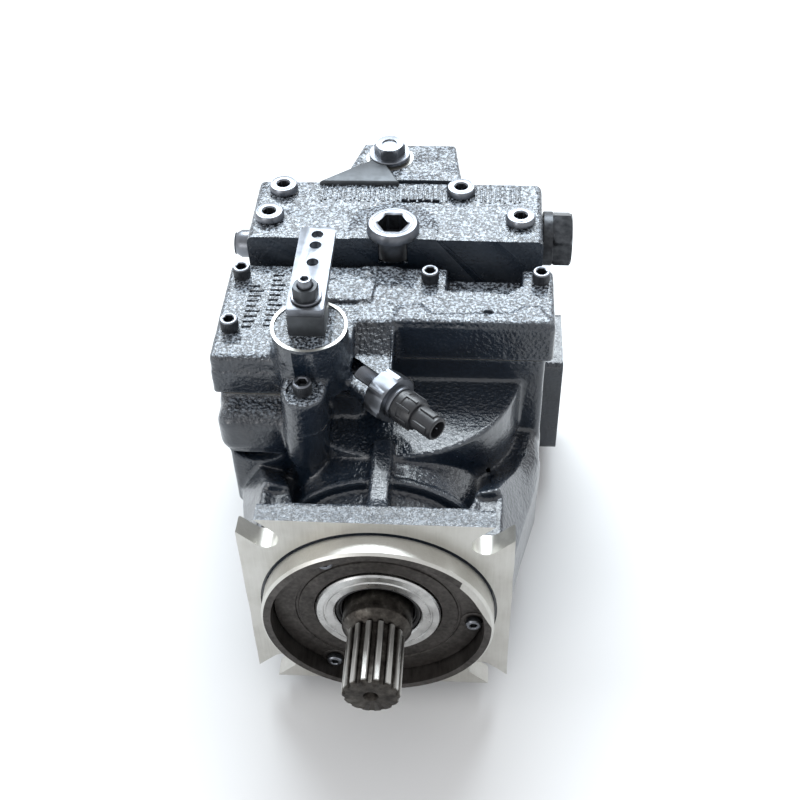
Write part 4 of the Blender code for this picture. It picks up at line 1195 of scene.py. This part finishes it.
def spline_shaft():
    """The shaft: its toothed end with a centre hole, and its plain journals."""
    flank = ((13.4, 0.205), (13.5, 0.150), (14.4, 0.125), (15.3, 0.088), (CREST_R, 0.060))
    profile = [(radius, -offset) for radius, offset in flank] + list(flank[::-1])
    bm = bmesh.new()
    rings = []
    for y, scale in ((-19.2, 1.0), (-54.4, 1.0), (-55.2, 0.965), (-55.8, 0.90)):
        ring = []
        for tooth in range(TEETH):
            middle = 2 * math.pi * tooth / TEETH
            for radius, offset in profile:
                reach = min(radius, CREST_R * scale)
                turn = middle + offset
                ring.append(bm.verts.new((reach * math.cos(turn), y, reach * math.sin(turn))))
        rings.append(ring)
    count = len(ring)
    for radius, y in ((4.2, -55.8), (0.6, -49.0)):
        turns = [2 * math.pi * k / count for k in range(count)]
        rings.append([bm.verts.new((radius * math.cos(t), y, radius * math.sin(t))) for t in turns])
    for low, high in zip(rings, rings[1:]):
        for k in range(count):
            j = (k + 1) % count
            bm.faces.new((low[k], low[j], high[j], high[k]))
    bm.faces.new(rings[0])
    bm.faces.new(rings[-1])
    bmesh.ops.recalc_face_normals(bm, faces=bm.faces)
    body = stack(
        ((7.9, 269.8), (7.9, 199), (12.4, 199), (12.4, 178), (15.5, 177),
         (15.5, 38.5), (19.1, 38.5), (19.1, 36.8), (17.4, 36.8), (17.4, 13.2),
         (19.1, 13.2), (19.1, -13.6), (18.7, -14.4), (15.0, -17.4), (12.9, -18.8),
         (12.9, -20.0)),
        96, turn=REARWARD,
    )
    whole = chain(mesh_of(bm, "toothed_end"), body)
    points = np.empty(len(whole.vertices) * 3)
    whole.vertices.foreach_get("co", points)
    x, y, z = points.reshape(-1, 3).T
    rubbed = smear(np.hypot(x, z), 15.1, 15.6) * (y < -19)
    attribute = whole.attributes.new("edge", "FLOAT", "POINT")
    attribute.data.foreach_set("value", rubbed.astype(np.float32))
    dress(whole, SHAFT)
    return show("splined_shaft", whole, body="rotating_group", replaces=("drive_shaft",))


def lever_parts():
    to_lever = Matrix.Translation((*LEVER_AT, 0))
    near_end = [(-9.9, -8.6), (-8.4, -10.3), (8.4, -10.3), (9.9, -8.6)]
    outline = near_end + arc((5.5, 56.5), 4.4, 0, 90, 8) + arc((-5.5, 56.5), 4.4, 90, 180, 8)
    plate = slab(outline, 137.1, 141.4)
    holes = ((0, 4.2), (29.5, 3.3), (44.5, 3.3), (54.0, 3.3))
    plate = carve(plate, [pole("Z", (0, along), radius, 130, 150, 40) for along, radius in holes])
    plate = bevelled(plate, 0.45, 40, 2)
    dress(plate, LEVER)
    plate.transform(to_lever)
    show("lever_plate", plate, body="lever", replaces=("control_lever",))
    hub = bevelled(bar((-10, -10, 122.7), (10, 10, 136.6)), 0.9)
    shaft = stack(
        ((6.7, 80), (6.7, 133), (3.75, 133), (3.75, 153.2), (3.3, 154.3),
         (2.3, 154.3), ("hex", 1.9, 153.8), ("hex", 1.9, 151.0), ("hex", 0.4, 150.6)),
        64,
    )
    crank = bevelled(bar((-5.4, 2, 80.1), (5.4, 18, 86.4)), 0.6)
    whole = chain(hub, shaft, crank)
    whole.materials.clear()

    def hub_side(face):
        return 122 < face.center.z < 136.7 and abs(face.normal.z) < 0.9

    whole = banded(whole, hub_side, (ZINC, DARK_IRON))
    whole.transform(to_lever)
    show("lever_hub", whole, body="lever", replaces=("control_shaft",))
    washer = stack(
        ((8.3, 141.9), (8.4, 142.2), (8.4, 142.9), (8.0, 143.2), (4.4, 143.2), (4.2, 141.9)),
        64, (ZINC,), closed=True,
    )
    nut = stack(
        (("hex", 6.2, 143.2, 6.9), ("hex", 6.2, 143.9, 7.1), ("hex", 6.2, 149.1, 7.1),
         ("hex", 6.2, 149.8, 6.4), (5.4, 149.8), (4.6, 149.8), (4.1, 149.3), (4.1, 143.2)),
        96, (DARK_IRON,), turn=Matrix.Rotation(0.35, 4, "Z"), closed=True,
    )
    both = chain(washer, nut)
    both.transform(to_lever)
    show("nut_and_washer", both, body="lever", replaces=("lever_nut",))


def switch():
    thread = [(6.0, -4)]
    for k in range(13):
        thread += [(6.2, -3.5 + k * 1.2), (5.6, -2.9 + k * 1.2)]
    steel = stack(
        (*thread, (8.5, 12.6), (12.6, 12.7), ("hex", 13.0, 12.9, 13.4), ("hex", 13.0, 13.8, 14.8),
         ("hex", 13.0, 23.6, 14.8), ("hex", 13.0, 24.7, 13.2), (9.2, 24.8), (9.2, 20.0)),
        96, (ZINC,),
    )
    collar = stack(
        ((9.7, 24.4), (9.9, 25.0), (9.9, 27.5), (9.5, 28.0), (7.0, 28.0), (7.0, 24.4)),
        64, (ZINC,), closed=True,
    )
    plastic = stack(
        ((8.8, 22), (8.8, 29.6), (9.6, 30.2), (9.6, 32.8), (8.9, 33.4), (8.9, 35.2),
         (9.3, 35.6), (9.1, 39.8), (8.4, 41.4), (6.9, 41.8), (6.7, 54.8), (6.1, 55.6),
         (5.0, 55.6), (4.8, 44.0)),
        64, (PLASTIC,),
    )
    turns = [Matrix.Rotation(k * math.pi / 4, 4, "Z") for k in range(8)]
    ribs = [bar((8.2, -0.9, 30.5), (9.7, 0.9, 40.5), 0.3, (PLASTIC,), turn) for turn in turns]
    turns = [Matrix.Rotation(k * math.pi / 2 + 0.6, 4, "Z") for k in range(4)]
    clips = [bar((6.1, -2.2, 43), (7.6, 2.2, 53), 0.4, (PLASTIC,), turn) for turn in turns]
    pins = [bar((x - 0.8, -0.35, 40), (x + 0.8, 0.35, 53.5), 0.15, (ZINC,)) for x in (-2.4, 2.4)]
    whole = chain(steel, collar, plastic, *ribs, *clips, *pins)
    whole.transform(Matrix.Translation(SWITCH_AT) @ toward(SWITCH_WAY))
    show("start_switch", whole, replaces=("neutral_switch",))


def cast_marks():
    """Plain raised strokes on the tops of the castings, where the real ones carry cast marks."""
    strokes = []
    for k in range(42):
        x = -48 + k * 2.95 + (0.6 if k % 3 == 0 else 0.0)
        start, end = 215.0 + (k * 7 % 5) * 0.7, 234.5 - (k * 5 % 7) * 0.9
        strokes.append(bar((x, start, 114.6), (x + 1.3, end, 116.0), 0.35, (PAINT,)))
    show("cap_strokes", chain(*strokes))
    ticks = []
    for row, (x0, count) in enumerate(((-82, 9), (-70, 11), (-58, 8))):
        for k in range(count):
            y = 114 + k * 4.4 + row * 1.3
            width = 5.5 + (k * 5 + row * 3) % 4
            ticks.append(bar((x0, y, 100.2), (x0 + width, y + 1.9, 102.6), 0.4, (PAINT,)))
    show("lid_strokes", chain(*ticks))


def wedge_bracket():
    """The dark angled plate that stands in front of the hump."""
    outline = [(-50, 231.5), (-31, 246.6), (-17, 257.4), (-9, 250), (-1, 234), (0, 232)]
    plate = bevelled(slab(outline, 112.0, 118.5), 1.2)
    dress(plate, DARK_IRON)
    return show("hump_bracket", plate)


main_casting()
control_casting()
end_cap_casting()
charge_pump_casting()
fasteners()
front_parts()
spline_shaft()
lever_parts()
switch()

# The moving parts inside keep their CAD shapes and take worked finishes.
INSIDE = {
    "swashplate": CARRIER, "cylinder_block": GROUND, "slipper_retainer": GROUND, "valve_plate": BRONZE,
    "front_bearing": GROUND, "rear_bearing": GROUND, "servo_piston": GROUND, "block_spring": LEVER,
    "charge_gear_inner": GROUND, "charge_gear_outer": GROUND,
}
for number in range(1, 10):
    INSIDE[f"piston_{number}"] = GROUND
    INSIDE[f"slipper_{number}"] = BRONZE
for node, finish in INSIDE.items():
    dress(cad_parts[node].data, finish)


# ---- Floor, light and camera ---------------------------------------------------------------------


def studio():
    floor = bpy.data.meshes.new("floor")
    floor.from_pydata([(-6, -6, 0), (6, -6, 0), (6, 6, 0), (-6, 6, 0)], [], [(0, 1, 2, 3)])
    pale = Finish("pale_floor", (0.80, 0.80, 0.80), 0.0, 0.9)
    pale.colour(pale.ramp(pale.noise(2.0, 2), (0.2, (0.69, 0.69, 0.69)), (0.8, (0.72, 0.72, 0.72))))
    floor.materials.append(pale.material)
    ground = bpy.data.objects.new("floor", floor)
    bpy.context.scene.collection.objects.link(ground)

    world = bpy.data.worlds.new("studio")
    world.use_nodes = True
    world.node_tree.nodes["Background"].inputs["Color"].default_value = (0.97, 0.98, 1.0, 1)
    world.node_tree.nodes["Background"].inputs["Strength"].default_value = 0.92
    bpy.context.scene.world = world

    def softbox(name, place, size, power, colour=(1, 1, 1), aim=(0, 0, 0.08)):
        data = bpy.data.lights.new(name, "AREA")
        data.shape = "RECTANGLE"
        data.size, data.size_y = size
        data.energy = power
        data.color = colour
        obj = bpy.data.objects.new(name, data)
        obj.location = place
        obj.rotation_euler = (Vector(aim) - Vector(place)).to_track_quat("-Z", "Y").to_euler()
        bpy.context.scene.collection.objects.link(obj)

    softbox("overhead", (-0.15, 1.35, 1.55), (1.9, 0.9), 74, (0.86, 0.94, 1.0))
    softbox("front_fill", (-1.2, -1.6, 0.7), (0.9, 0.9), 9)

    view = math.radians(4.78)
    rise = math.radians(44.93)
    roll = math.radians(-1.83)
    back = Vector((math.sin(view) * math.cos(rise), -math.cos(view) * math.cos(rise), math.sin(rise)))
    right = Vector((math.cos(view), math.sin(view), 0))
    up = back.cross(right)
    turned_right = right * math.cos(roll) + up * math.sin(roll)
    turned_up = up * math.cos(roll) - right * math.sin(roll)
    place = PUMP_AXIS + (Vector((15.5, 0, 164.7)) + back * 551.4) * MM
    data = bpy.data.cameras.new("camera")
    data.lens = 54.79
    data.sensor_width = 36
    data.shift_y = -0.0054
    data.clip_start = 0.01
    camera = bpy.data.objects.new("camera", data)
    turn = Matrix((turned_right, turned_up, back)).transposed().to_4x4()
    camera.matrix_world = Matrix.Translation(place) @ turn
    bpy.context.scene.collection.objects.link(camera)
    bpy.context.scene.camera = camera
    bpy.context.scene.view_settings.view_transform = "Standard"
    bpy.context.scene.view_settings.look = "None"


wedge_bracket()
cast_marks()
studio()
